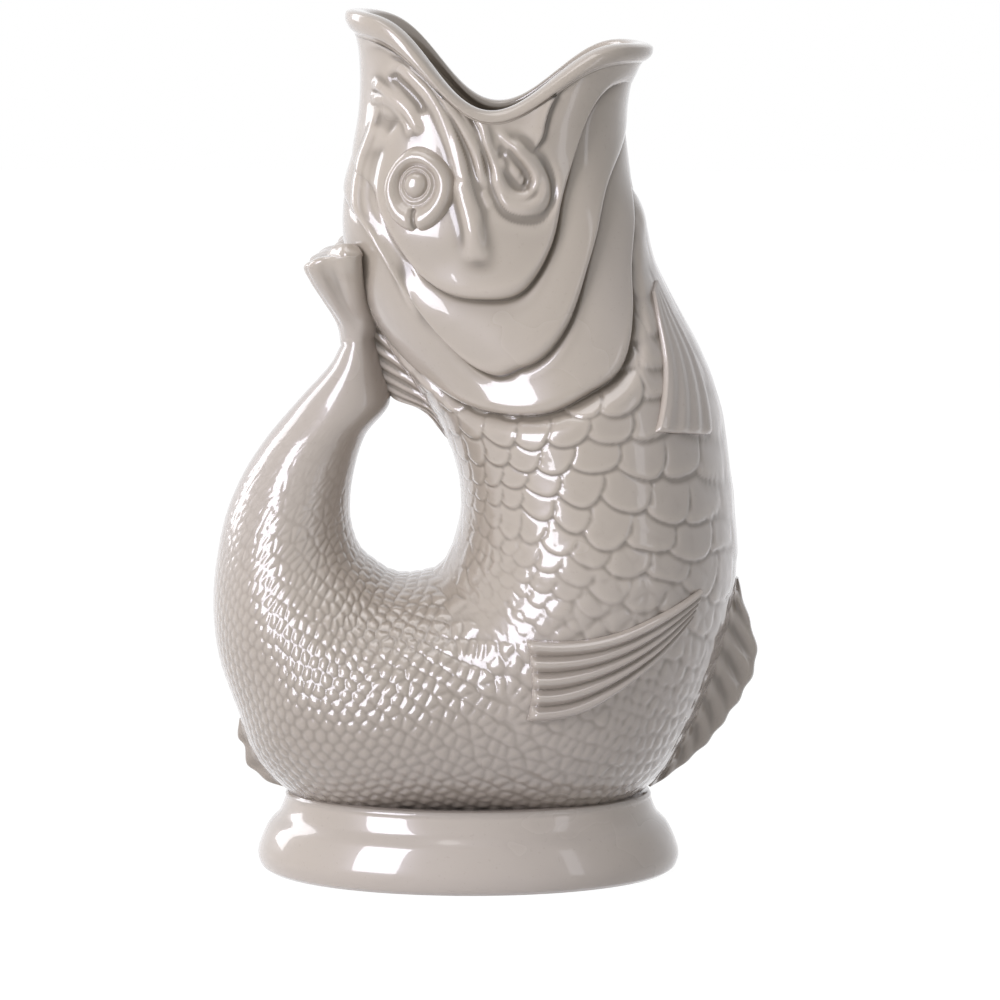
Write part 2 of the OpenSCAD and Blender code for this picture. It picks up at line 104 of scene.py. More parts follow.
# How high the lips of the frame stand, as a share of the body's height and in metres above that
RIM_SHARE, RIM_RISE = 0.996, 0.0013
LAST = len(STATION_SHARES) - 1
TAIL_ROOT, LEVEL_END = 6.0, 19.0
DIP_START, DIP_GROWTH, DIP_SHARPNESS = 24.0, 1.6, 6.8
FLAT_START, FLAT_RUN, FLAT_SHARE = 20.0, 4.0, 0.15

# Edges round the head, as stations at every 20 degrees from the throat to the back, and how much of
# its step each gill cover keeps there
EDGE_ANGLE = 20.0
GILL_OUTER = [26.1, 24.8, 23.15, 22.15, 21.7, 21.35, 21.38, 21.8, 23.1, 24.2]
GILL_MIDDLE = [27.6, 26.65, 25.3, 23.8, 22.88, 22.48, 22.7, 25.8, 26.6, 27]
GILL_INNER = [29.3, 29.4, 28.5, 25.55, 24.18, 24.07, 24.7, 26.9, 27.6, 28]
LIP_EDGE = [30.3, 30.3, 30.25, 30.2, 30.2, 30.2, 30.2, 30.3, 30.35, 30.4]
OUTER_STEP_SHARES = [0.4, 0.8, 1, 1, 1, 1, 1, 1, 0.8, 0.5]
MIDDLE_STEP_SHARES = [0.15, 0.6, 1, 1, 1, 1, 1, 0.5, 0.3, 0.2]
INNER_STEP_SHARES = [0.1, 0.4, 1, 1, 1, 1, 0.6, 0.2, 0.1, 0.1]

# Scales at every third station: height of a row in millimetres, width over height, plumpness, and how
# strongly they are worked; and how strongly they are worked at every 20 degrees
SCALE_RUN = 3.0
ROW_HEIGHTS = [2.6, 2.7, 3.0, 3.3, 3.5, 5.0, 8.1, 8.8, 8.6, 8.6]
WIDE_SHARES = [1.0, 1.0, 1.05, 1.05, 1.1, 1.2, 1.32, 1.3, 1.25, 1.2]
PLUMP_SHARES = [1.0, 1.0, 1.0, 1.0, 0.9, 0.5, 0.1, 0.0, 0.0, 0.0]
WORKED_SHARES = [0.0, 0.08, 0.6, 1.0, 1.0, 1.0, 1.0, 1.0, 1.0, 1.0]
ROUND_SHARES = [0.75, 0.9, 1.0, 1.0, 1.0, 1.0, 1.0, 0.9, 0.65, 0.3]
# Station where the scales end and places worked out up to there; angle that a scale of each row is
# centred on, and station that a row of plump scales is centred on
SCALES_END, SCALE_PLACES, SCALE_START, PLUMP_START = 27, 800, 78, 9.0
# Rounded rim of a flat scale and line round it: share of its size, and least and most in millimetres
SCALE_RIM, SCALE_LINE = (0.16, 0.25, 1.2), (0.085, 0.22, 0.55)
# Where scales and plates are softened once more, in degrees from the keel, over how many degrees that
# fades, how much of it the plump scales take, and how many times it is done
KEEL_SOFT_ANGLE, KEEL_SOFT_FADE, PLUMP_SOFT_SHARE, SOFT_ROUNDS = 34, 15, 0.22, 4

# Edges of the fins that lie on the skin, from root to free edge, as station and angle
SIDE_FIN_TOP = [[17.55, 42], [16.6, 66.5], [15.7, 87], [14.72, 108]]
SIDE_FIN_FOOT = [[16.9, 46], [15.7, 61], [14.5, 73], [13.15, 86.5]]
THROAT_FIN_INSIDE = [[23.4, 25], [22.1, 42], [20.75, 59]]
THROAT_FIN_OUTSIDE = [[23.6, 17], [22.1, 21], [20.55, 29]]
# Fins that lie on the skin: their edges, rows and columns of points, ribs, how high they stand at the
# root and how much more at the free edge, how high a groove is and how much more a rib, and its power
SKIN_FINS = {
    "side": (SIDE_FIN_TOP, SIDE_FIN_FOOT, 90, 220, 5, (0.25, 0.75), (0.3, 0.7), 0.6),
    "throat": (THROAT_FIN_INSIDE, THROAT_FIN_OUTSIDE, 80, 160, 4, (0.05, 0.7), (0.7, 0.3), 1),
}
# Outlines of the keel fins, as shares of their heights
BELLY_FIN_SHARES = [0.08, 0.22, 0.42, 0.62, 0.74, 0.86, 0.97, 0.96, 0.62, 0.25, 0.04]
REAR_FIN_SHARES = [0.1, 0.75, 0.5, 1, 0.7, 0.6, 0.1]
BACK_FIN_SHARES = [0.03, 0.17, 0.32, 0.84, 1, 1, 0.95, 0.8, 0.32]
# Keel fins: stations between which each runs, angle of its rail, half thickness of its root in
# millimetres, outline, ribs, how far they lean, their relief, and rows of points
KEEL_FINS = {
    "belly": ((13.8, 17.7), 0, 5.2, BELLY_FIN_SHARES, 9, 0.1, 0.34, 260),
    "rear": ((8.2, 9.4), 0, 4.5, REAR_FIN_SHARES, 3, 0.1, 0.32, 120),
    "back": ((20.4, 24.2), 180, 9, BACK_FIN_SHARES, 7, -0.32, 0.2, 220),
}
# Section of a keel fin from its root to its crest: share of its half thickness, and of its height
KEEL_SECTION = [[1, -0.2], [0.78, 0.02], [0.56, 0.2], [0.44, 0.5], [0.36, 0.8], [0.22, 0.95], [0, 1]]
# Tail fin from the tip of the tail upward: station of the head's back that its inner face lies on,
# outer face x and z and half width, as shares of the body's length, height and the fin's half width
TAIL_FIN_STATIONS = [
    [24, -0.241, 0.570, 0.36],
    [24.05, -0.248, 0.597, 0.45],
    [24.4, -0.274, 0.629, 0.62],
    [24.9, -0.296, 0.655, 0.81],
    [25.35, -0.308, 0.675, 0.96],
    [25.7, -0.294, 0.686, 1],
    [25.6, -0.263, 0.693, 0.94],
]
# Profile of the foot from the belly's seat to the table: how far it draws in from its widest place, as
# a share of its length, and its height as a share of the whole
FOOT_SHARES = [
    [0.071, 1], [0.066, 0.96], [0.065, 0.9], [0.052, 0.73], [0.026, 0.57], [0.008, 0.37],
    [0, 0.2], [0.007, 0.06], [0.022, 0],
]
# Station and angle of the eye, and its section from the middle of the pupil to the cheek: share of its
# radius and of its height
EYE_STATION, EYE_ANGLE = 27.2, 116.5
EYE_SECTION = [
    [0, 1.0], [0.1, 0.98], [0.2, 0.88], [0.28, 0.64], [0.33, 0.36], [0.37, 0.4], [0.41, 0.46], [0.46, 0.34],
    [0.5, 0.32], [0.56, 0.56], [0.65, 0.84], [0.75, 0.94], [0.85, 0.84], [0.93, 0.56], [1.0, 0.05],
    [1.06, -0.4],
]

# Worked lines of the cheek, as pixels of the camera's picture: half width in pixels, height in
# millimetres, side that stands proud, 0 for both, and points
CHEEK_LINES = {
    "lip_groove": (2.6, -1.1, 0, [
        (356, 34), (370, 33), (386, 35), (401, 43), (418, 55), (433, 67), (447, 84), (459, 101),
        (471, 119), (480, 137),
    ]),
    "first_ridge": (4.4, 0.9, 0, [
        (362, 43), (378, 42), (392, 47), (404, 54), (418, 66), (431, 79), (443, 94), (453, 112),
        (463, 128), (472, 144), (479, 160), (483, 178), (486, 192),
    ]),
    "first_groove": (2.6, -0.9, 0, [
        (386, 54), (404, 63), (420, 76), (433, 89), (443, 104), (452, 120), (460, 137), (467, 153),
        (472, 169), (477, 186),
    ]),
    "drip": (8.0, 1.2, 0, [
        (393, 56), (406, 66), (419, 80), (431, 94), (440, 108), (447, 125), (454, 144), (459, 162),
        (463, 182), (468, 205), (474, 232), (476, 258),
    ]),
    "drip_line": (2.0, 0.4, 0, [
        (430, 82), (441, 99), (449, 115), (455, 132), (459, 149), (462, 167), (466, 181), (473, 198),
        (479, 212), (480, 232),
    ]),
    "drip_end": (11.5, 1.0, 0, [(456, 176), (463, 194), (469, 212), (474, 234), (476, 252), (476, 264)]),
    "brow_hollow": (5.0, -1.3, 0, [(389, 72), (398, 81), (409, 92), (418, 103), (424, 114)]),
    "hood": (4.0, 1.1, 0, [(372, 81), (386, 92), (399, 102), (409, 112), (416, 124), (420, 134)]),
    "hood_groove": (2.2, -0.6, 0, [(372, 90), (386, 97), (398, 108), (407, 120), (413, 130)]),
    "lower_hood": (3.4, 0.9, 0, [(370, 98), (382, 98), (392, 103), (401, 113), (408, 124), (411, 136)]),
    "lid_hollow": (9.0, -0.7, 0, [(374, 118), (384, 122), (394, 130)]),
    "back_line": (3.6, 0.9, 0, [
        (376, 114), (368, 140), (361, 158), (356, 182), (357, 210), (371, 236), (387, 262),
        (402, 292), (415, 319),
    ]),
    "back_hollow": (6.0, -0.8, 0, [
        (384, 140), (374, 160), (369, 190), (373, 214), (386, 238), (400, 262), (411, 288),
    ]),
    "fold": (3.2, 0.9, 0, [
        (480, 112), (487, 142), (493, 160), (500, 177), (507, 190), (517, 195), (528, 194), (534, 186),
        (534, 176), (527, 163), (515, 149), (503, 136), (496, 125),
    ]),
    "fold_belly": (7.0, 1.3, 0, [
        (490, 166), (496, 186), (504, 200), (515, 206), (529, 206), (540, 197), (542, 183), (535, 167),
        (522, 153), (508, 137),
    ]),
    "fold_shadow": (3.4, -1.1, 0, [
        (480, 142), (486, 162), (490, 180), (496, 197), (505, 213), (521, 220), (541, 219), (553, 203),
        (554, 184), (547, 166), (536, 152),
    ]),
    "fold_inside": (3.0, -1.0, 0, [
        (499, 142), (504, 158), (510, 174), (517, 186), (525, 187), (528, 178), (522, 166), (513, 154),
        (505, 144),
    ]),
    "fold_tongue": (3.4, 0.8, 0, [(501, 157), (508, 169), (521, 177)]),
    "streak": (3.0, 0.5, 0, [(482, 191), (486, 199), (491, 207)]),
    "web_line": (2.4, 0.6, 0, [(478, 103), (494, 110), (508, 112), (522, 110)]),
    "jaw_band": (9.0, 1.7, 1, [
        (640, 61), (627, 57), (614, 57), (601, 59), (590, 63), (579, 69), (564, 85), (552, 104),
        (546, 122), (542, 139), (532, 153),
    ]),
}


def length(name, description, default):
    """Property for a length."""
    return FloatProperty(
        name=name, description=description, default=default, precision=5, unit="LENGTH", subtype="DISTANCE"
    )


def share(name, description, default):
    """Property for a plain number."""
    return FloatProperty(name=name, description=description, default=default)


def rotation(name, description, degrees):
    """Property for an angle."""
    return FloatProperty(
        name=name, description=description, default=math.radians(degrees), unit="ROTATION", subtype="ANGLE"
    )


def colour(name, description, default):
    """Property for a colour."""
    return FloatVectorProperty(
        name=name, description=description, default=default, size=4, min=0, max=1, subtype="COLOR"
    )


def reach_of(node, axis):
    """How far a node of the frame reaches along an axis."""
    low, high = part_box(node)
    return (high - low)[axis]


FOOT_TOP, LIPS_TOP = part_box("foot")[1].z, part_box("lips")[1].z
# Flare of the glazed foot over the one in the frame
FOOT_FLARE = 1.01


class SkinSizes(bpy.types.PropertyGroup):
    body_l: length("Body length", "From tail bend to keel", reach_of("belly", 0) / LENGTH_REACH)
    body_d: length("Body depth", "Through the flanks", reach_of("belly", 1) / DEPTH_REACH)
    body_h: length("Body height", "From foot to upper jaw", (LIPS_TOP - FOOT_TOP - RIM_RISE) / RIM_SHARE)
    wall: length("Wall", "Thickness of the clay", 5 * MM)
    jaw_dip: length("Jaw dip", "Depth of the notch between the jaws", 21.8 * MM)
    columns: IntProperty(name="Columns", description="Points round a section", default=512)
    grain: length("Grain", "Distance between rows of points", 0.55 * MM)


class FootSizes(bpy.types.PropertyGroup):
    length: length("Length", "Length of the oval foot", FOOT_FLARE * reach_of("foot", 0))
    depth: length("Depth", "Depth of the oval foot", FOOT_FLARE * reach_of("foot", 1))
    height: length("Height", "Height up to the belly", FOOT_TOP)
    floor: length("Floor", "Thickness of the floor in the foot", 5 * MM)
    ring: length("Ring", "Width of the ring that the jug stands on", 9 * MM)
    recess: length("Recess", "Depth of the hollow inside the ring", 1.6 * MM)
    ledge: length("Ledge", "Width of the ledge that runs in under the body", 7 * MM)
    corner: length("Corner", "Size of the inner corner between wall and floor", 4 * MM)
    bevel: length("Bevel", "Width of the bevel on the ring that the jug stands on", 0.8 * MM)
    pole: length("Pole", "Radius at which the foot's faces meet in its middle", 2 * MM)


class ScaleSizes(bpy.types.PropertyGroup):
    step: share("Step", "How far a scale stands over the next, as a share of its height", 0.085)
    groove: length("Groove", "Depth of the line round a scale", 0.32 * MM)
    dome: share("Dome", "Height of a plump scale as a share of its width", 0.15)
    arch: share("Arch", "How far the sides of a scale draw back, as a share of a row", 1.25)
    reach: share("Reach", "Half width of a scale as a share of the distance to the next", 0.72)
    jitter: share("Jitter", "How far a scale strays, as a share of a row", 0.09)
    plump_sink: share("Plump sink", "How far a plump scale strays down, as a share of a row", 0.34)
    plump_shift: share("Plump shift", "How far a plump scale strays along its row, as a share of it", 0.4)
    plump_reach: share("Plump reach", "Radius of a plump scale as a share of its width", 0.76)
    plump_tilt: share("Plump tilt", "How far a plump scale leans, as a share of its width", 0.28)
    plump_line: length("Plump line", "Half width of the line round a plump scale", 0.3 * MM)


class HeadSizes(bpy.types.PropertyGroup):
    gill_step: length("Gill step", "How far a gill cover stands over what lies behind it", 3.1 * MM)
    gill_rim: length("Gill rim", "Radius of the free edge of a gill cover", 4.4 * MM)
    gill_fall: length("Gill fall", "Run over which the breast rises to the outer gill cover", 8 * MM)
    gill_line: length("Gill line", "Half width of the line along a free edge", 1.2 * MM)
    # Painted shade: how far the darker band behind each free edge of a gill cover reaches; it stands in for
    # the shadow under that edge
    gill_shade: length("Gill pool", "Half width of the darker glaze behind a free edge", 3.2 * MM)
    lip_roll: length("Lip roll", "How far the lip stands proud of the jaws", 1.3 * MM)
    lip_crown: length("Lip crown", "Height of the rounded top of the lip", 1.6 * MM)
    folds: share("Folds", "Strength of the folds of the cheek", 1.0)
    eye_w: length("Eye width", "Width of the ring round the eye", 20.2 * MM)
    eye_h: length("Eye height", "Height of the ring round the eye", 21.8 * MM)
    eye_proud: length("Eye proud", "How far the eyeball stands proud of the cheek", 3.2 * MM)
    eye_split: length("Eye split", "Half width of the cut in the ring below the eye", 0.9 * MM)
    eye_rise: length("Eye rise", "How far the pupil sits above the middle of its ring", 1.4 * MM)
    eye_turn: length("Eye turn", "How far the pupil sits ahead of the middle of its ring", 0.8 * MM)


class FinSizes(bpy.types.PropertyGroup):
    belly: length("Belly fin", "How far it stands out from the keel", 10.6 * MM)
    rear: length("Rear fin", "How far the fin behind the foot stands out", 4.2 * MM)
    back: length("Back fin", "How far the fin under the head stands out", 9.4 * MM)
    side: length("Side fins", "How far their free edges stand off the flank", 3.5 * MM)
    throat: length("Throat fins", "How far their free edges stand off the throat", 1.9 * MM)
    tail_w: length("Tail fin width", "Width across its two lobes", reach_of("tail_fin", 1))
    tail_cleft: length("Tail fin cleft", "Depth of the cleft between its lobes", 5 * MM)
    tail_crown: length("Tail fin crown", "Height of its rounded end", 3.2 * MM)
    tail_seat: length("Tail fin seat", "How deep its inner face is sunk in the head", 2.4 * MM)
    tail_flute: length("Tail fin flutes", "Depth of the hollows between its ribs", 1.3 * MM)
    tail_dent: length("Tail fin dent", "Depth of the groove along its lobes", 1.9 * MM)
    tail_ridge: length("Tail fin ridge", "Height of the ridge beside that groove", 0.7 * MM)
    tail_wrap: length("Tail fin wrap", "Half length of the head that it wraps", 36 * MM)
    edge: length("Edge", "Thickness of the thin parts", 0.6 * MM)
    root: length("Root", "How far a fin is rooted in the skin", 0.7 * MM)


class GlazeLook(bpy.types.PropertyGroup):
    glaze: colour("Glaze", "Glaze on the open surface", (0.41, 0.36, 0.285, 1))
    # Colour of glaze pooled in lines and of fine specks, also used for the painted shade behind gill edges
    # and on the lower body
    pooled_and_shade: colour("Pooled", "Glaze where it gathers in a line", (0.21, 0.18, 0.14, 1))
    thin: colour("Thin", "Glaze where it runs thin over a ridge", (0.5, 0.44, 0.355, 1))
    pearl: colour("Pearl", "Lavender bloom in the glaze", (0.42, 0.385, 0.36, 1))
    clay: colour("Clay", "Bare clay under the foot", (0.6, 0.53, 0.45, 1))
    # Painted shade: the lower body is painted darker toward the table, from this height down over this run
    shade_below: length("Gathers below", "Height below which the glaze ran down and grew thick", 85 * MM)
    shade_over: length("Gathers over", "Run over which it would grow as thick as in a line", 125 * MM)


class StageLook(bpy.types.PropertyGroup):
    aim: FloatVectorProperty(
        name="Aim", description="Point that the camera looks at", default=(8.9 * MM, 0, 103.1 * MM),
        unit="LENGTH", subtype="TRANSLATION",
    )
    distance: length("Distance", "From that point to the camera", 1.535)
    azimuth: rotation("Azimuth", "Turn of the camera round the jug", 2.0)
    elevation: rotation("Elevation", "Angle of the camera above the table", 7.1)
    lens: share("Lens", "Focal length in millimetres", 199.3)
    sensor: share("Sensor", "Width of the sensor in millimetres", 36.0)
    room: share("Room", "Brightness of the pale room", 0.29)


class Jug(bpy.types.PropertyGroup):
    skin: PointerProperty(type=SkinSizes)
    foot: PointerProperty(type=FootSizes)
    scales: PointerProperty(type=ScaleSizes)
    head: PointerProperty(type=HeadSizes)
    fins: PointerProperty(type=FinSizes)
    glaze: PointerProperty(type=GlazeLook)
    stage: PointerProperty(type=StageLook)


def jug():
    return bpy.context.scene.jug


def spline(table, place):
    """Smooth curve through the rows of a table, at places between its rows."""
    table, place = np.asarray(table, float), np.asarray(place, float)
    last = len(table) - 1
    place = np.clip(place, 0, last)
    row = np.minimum(place.astype(int), last - 1)
    u = place - row
    if table.ndim > 1:
        u = u[..., None]
    ends = np.concatenate([[2 * table[0] - table[1]], table, [2 * table[-1] - table[-2]]])
    p0, p1, p2, p3 = (ends[row + k] for k in range(4))
    bend = 2 * p0 - 5 * p1 + 4 * p2 - p3
    return (2 * p1 + (p2 - p0) * u + bend * u**2 + (3 * p1 - p0 - 3 * p2 + p3) * u**3) / 2


def along(table, u):
    """The same curve at a share of its whole run."""
    return spline(table, np.asarray(u, float) * (len(table) - 1))


def smooth(x):
    x = np.clip(x, 0, 1)
    return x * x * (3 - 2 * x)


def rounded(x):
    """Quarter round that rises from 0 at 0 to 1 at 1."""
    return np.sqrt(1 - (1 - np.clip(x, 0, 1)) ** 2)


def mix(a, b, u):
    return a + (b - a) * u


def ribs(count, u):
    """Ribs over a share of a fin, from 0 in a groove to 1 on a rib."""
    return (1 - np.cos(2 * np.pi * count * u)) / 2


def fold(angle):
    """Angle folded to the half between the belly rail and the back rail."""
    angle = np.mod(angle, 360)
    return np.where(angle > 180, 360 - angle, angle)


def edge(table, angle):
    return spline(table, fold(angle) / EDGE_ANGLE)


def unit(v):
    return v / np.maximum(np.linalg.norm(v, axis=-1, keepdims=True), 1e-12)


def running_sum(steps):
    """Sum of steps so far, from 0."""
    return np.concatenate([np.zeros_like(steps[:1]), np.cumsum(steps, 0)])


def summed(rate, apart=1.0):
    """Sum of a rate so far, from row to row, with the rows so far apart."""
    return running_sum((rate[1:] + rate[:-1]) / 2 * apart)


def skin(station, angle, depth=0.0, stand=0.0, rise=0.0):
    """Points of the skin, sunk by depth, moved out from the belly rail by stand and up by rise."""
    s = jug().skin
    station, angle = np.broadcast_arrays(np.asarray(station, float), np.asarray(angle, float))
    shares = spline(STATION_SHARES, station)
    back = np.stack([shares[..., 0] * s.body_l, FOOT_TOP + shares[..., 1] * s.body_h], -1)
    belly = np.stack([shares[..., 2] * s.body_l, FOOT_TOP + shares[..., 3] * s.body_h], -1)
    half_depth = shares[..., 4] * s.body_d / 2
    reach = belly - back
    half = np.linalg.norm(reach, axis=-1) / 2
    out = reach / (2 * half)[..., None]
    up = np.stack([-out[..., 1], out[..., 0]], -1)
    a = np.radians(angle)
    cos, sin = np.cos(a), np.sin(a)
    flat = 1 - FLAT_SHARE * np.clip((station - FLAT_START) / FLAT_RUN, 0, 1)
    n = unit(np.stack([half_depth * cos, half * sin], -1))
    dip = s.jaw_dip * np.clip((station - DIP_START) / (LAST - DIP_START), 0, 1) ** DIP_GROWTH
    dip = dip * np.abs(sin) ** DIP_SHARPNESS
    u = half * cos - depth * n[..., 0] + stand
    y = half_depth * np.sign(sin) * np.abs(sin) ** flat - depth * n[..., 1]
    p = (back + belly) / 2 + u[..., None] * out + (rise - dip)[..., None] * up
    return np.stack([p[..., 0], y, p[..., 1]], -1)


def skin_scale(station, angle):
    """Metres of skin for one station and for one degree at a place."""
    t, a = 0.05, 0.5
    per_station = np.linalg.norm(skin(station + t, angle) - skin(station - t, angle), axis=-1) / (2 * t)
    per_degree = np.linalg.norm(skin(station, angle + a) - skin(station, angle - a), axis=-1) / (2 * a)
    return per_station, per_degree


def grid_normals(points, looped):
    """Unit normals of a grid whose columns run round a form and whose rows run up it."""
    if looped:
        across = np.roll(points, -1, 1) - np.roll(points, 1, 1)
    else:
        across = np.gradient(points, axis=1)
    return unit(np.cross(across, np.gradient(points, axis=0)))


def hollows(depth, looped):
    """How far each place of a grid lies below its surroundings, from -1 on a ridge to 1 in a line."""
    reach, full_depth = 4, 0.3 * MM
    around = depth
    for axis in (0, 1):
        total = np.zeros_like(around)
        for k in range(-reach, reach + 1):
            if axis and looped:
                total += np.roll(around, k, 1)
            else:
                index = np.clip(np.arange(around.shape[axis]) + k, 0, around.shape[axis] - 1)
                total += np.take(around, index, axis)
        around = total / (2 * reach + 1)
    return np.clip((depth - around) / full_depth, -1, 1)


def softened(depth):
    """The same depths as a thick glaze leaves them, each mixed with its neighbours."""
    depth = (np.roll(depth, 1, 1) + 2 * depth + np.roll(depth, -1, 1)) / 4
    soft = depth.copy()
    soft[1:-1] = (depth[:-2] + 2 * depth[1:-1] + depth[2:]) / 4
    return soft


class Camera:
    """Where the camera stands and where it sees a point, in pixels of a picture 1000 on a side."""

    side = 1000.0

    def __init__(self):
        look = jug().stage
        self.back = np.array([
            math.sin(look.azimuth) * math.cos(look.elevation),
            -math.cos(look.azimuth) * math.cos(look.elevation),
            math.sin(look.elevation),
        ])
        self.place = np.array(look.aim) + self.back * look.distance
        self.right = unit(np.cross([0, 0, 1], self.back))
        self.up = np.cross(self.back, self.right)
        self.focal = look.lens / look.sensor * self.side

    def sees(self, points):
        rel = points - self.place
        far = -(rel @ self.back)
        x = self.side / 2 + self.focal * (rel @ self.right) / far
        y = self.side / 2 - self.focal * (rel @ self.up) / far
        return np.stack([x, y], -1)


def line_distance(places, points):
    """Distance of places from a smooth line through points, its side, and the share run along it."""
    line = along(np.array(points, float), np.linspace(0, 1, 6 * len(points)))
    steps = np.diff(line, axis=0)
    lengths = np.linalg.norm(steps, axis=1)
    run = running_sum(lengths) / lengths.sum()
    best = np.full(places.shape[:-1], 1e9)
    side, share_run = np.zeros_like(best), np.zeros_like(best)
    for k, step in enumerate(steps):
        rel = places - line[k]
        u = np.clip((rel @ step) / (step @ step), 0, 1)
        gap = rel - u[..., None] * step
        distance = np.hypot(gap[..., 0], gap[..., 1])
        nearer = distance < best
        best = np.where(nearer, distance, best)
        side = np.where(nearer, step[0] * rel[..., 1] - step[1] * rel[..., 0], side)
        share_run = np.where(nearer, mix(run[k], run[k + 1], u), share_run)
    return best, side, share_run


def worked_line(places, half_width, height, proud_side, points):
    """Height in millimetres that a worked line adds at places, faded out at its ends."""
    reach = 3.2 * half_width
    near = np.all((places > np.min(points, 0) - reach) & (places < np.max(points, 0) + reach), axis=-1)
    distance, side, share_run = line_distance(places[near], points)
    ends = smooth(share_run / 0.12) * smooth((1 - share_run) / 0.12)
    if proud_side:
        above = height * rounded(distance / 4) * np.exp(-((distance / (2 * half_width)) ** 2))
        below = -0.35 * height * np.exp(-((distance / 5) ** 2))
        form = np.where(side * proud_side > 0, above, below)
    else:
        form = height * np.exp(-((distance / half_width) ** 3))
    raised = np.zeros(places.shape[:-1])
    raised[near] = form * ends
    return raised


def cheek_relief(points):
    """Height by which the folds of both cheeks stand off the skin at points."""
    near = points.copy()
    near[..., 1] = -np.abs(near[..., 1])
    places = Camera().sees(near)
    lines = [worked_line(places, *line) for line in CHEEK_LINES.values()]
    return np.sum(lines, axis=0) * MM * jug().head.folds


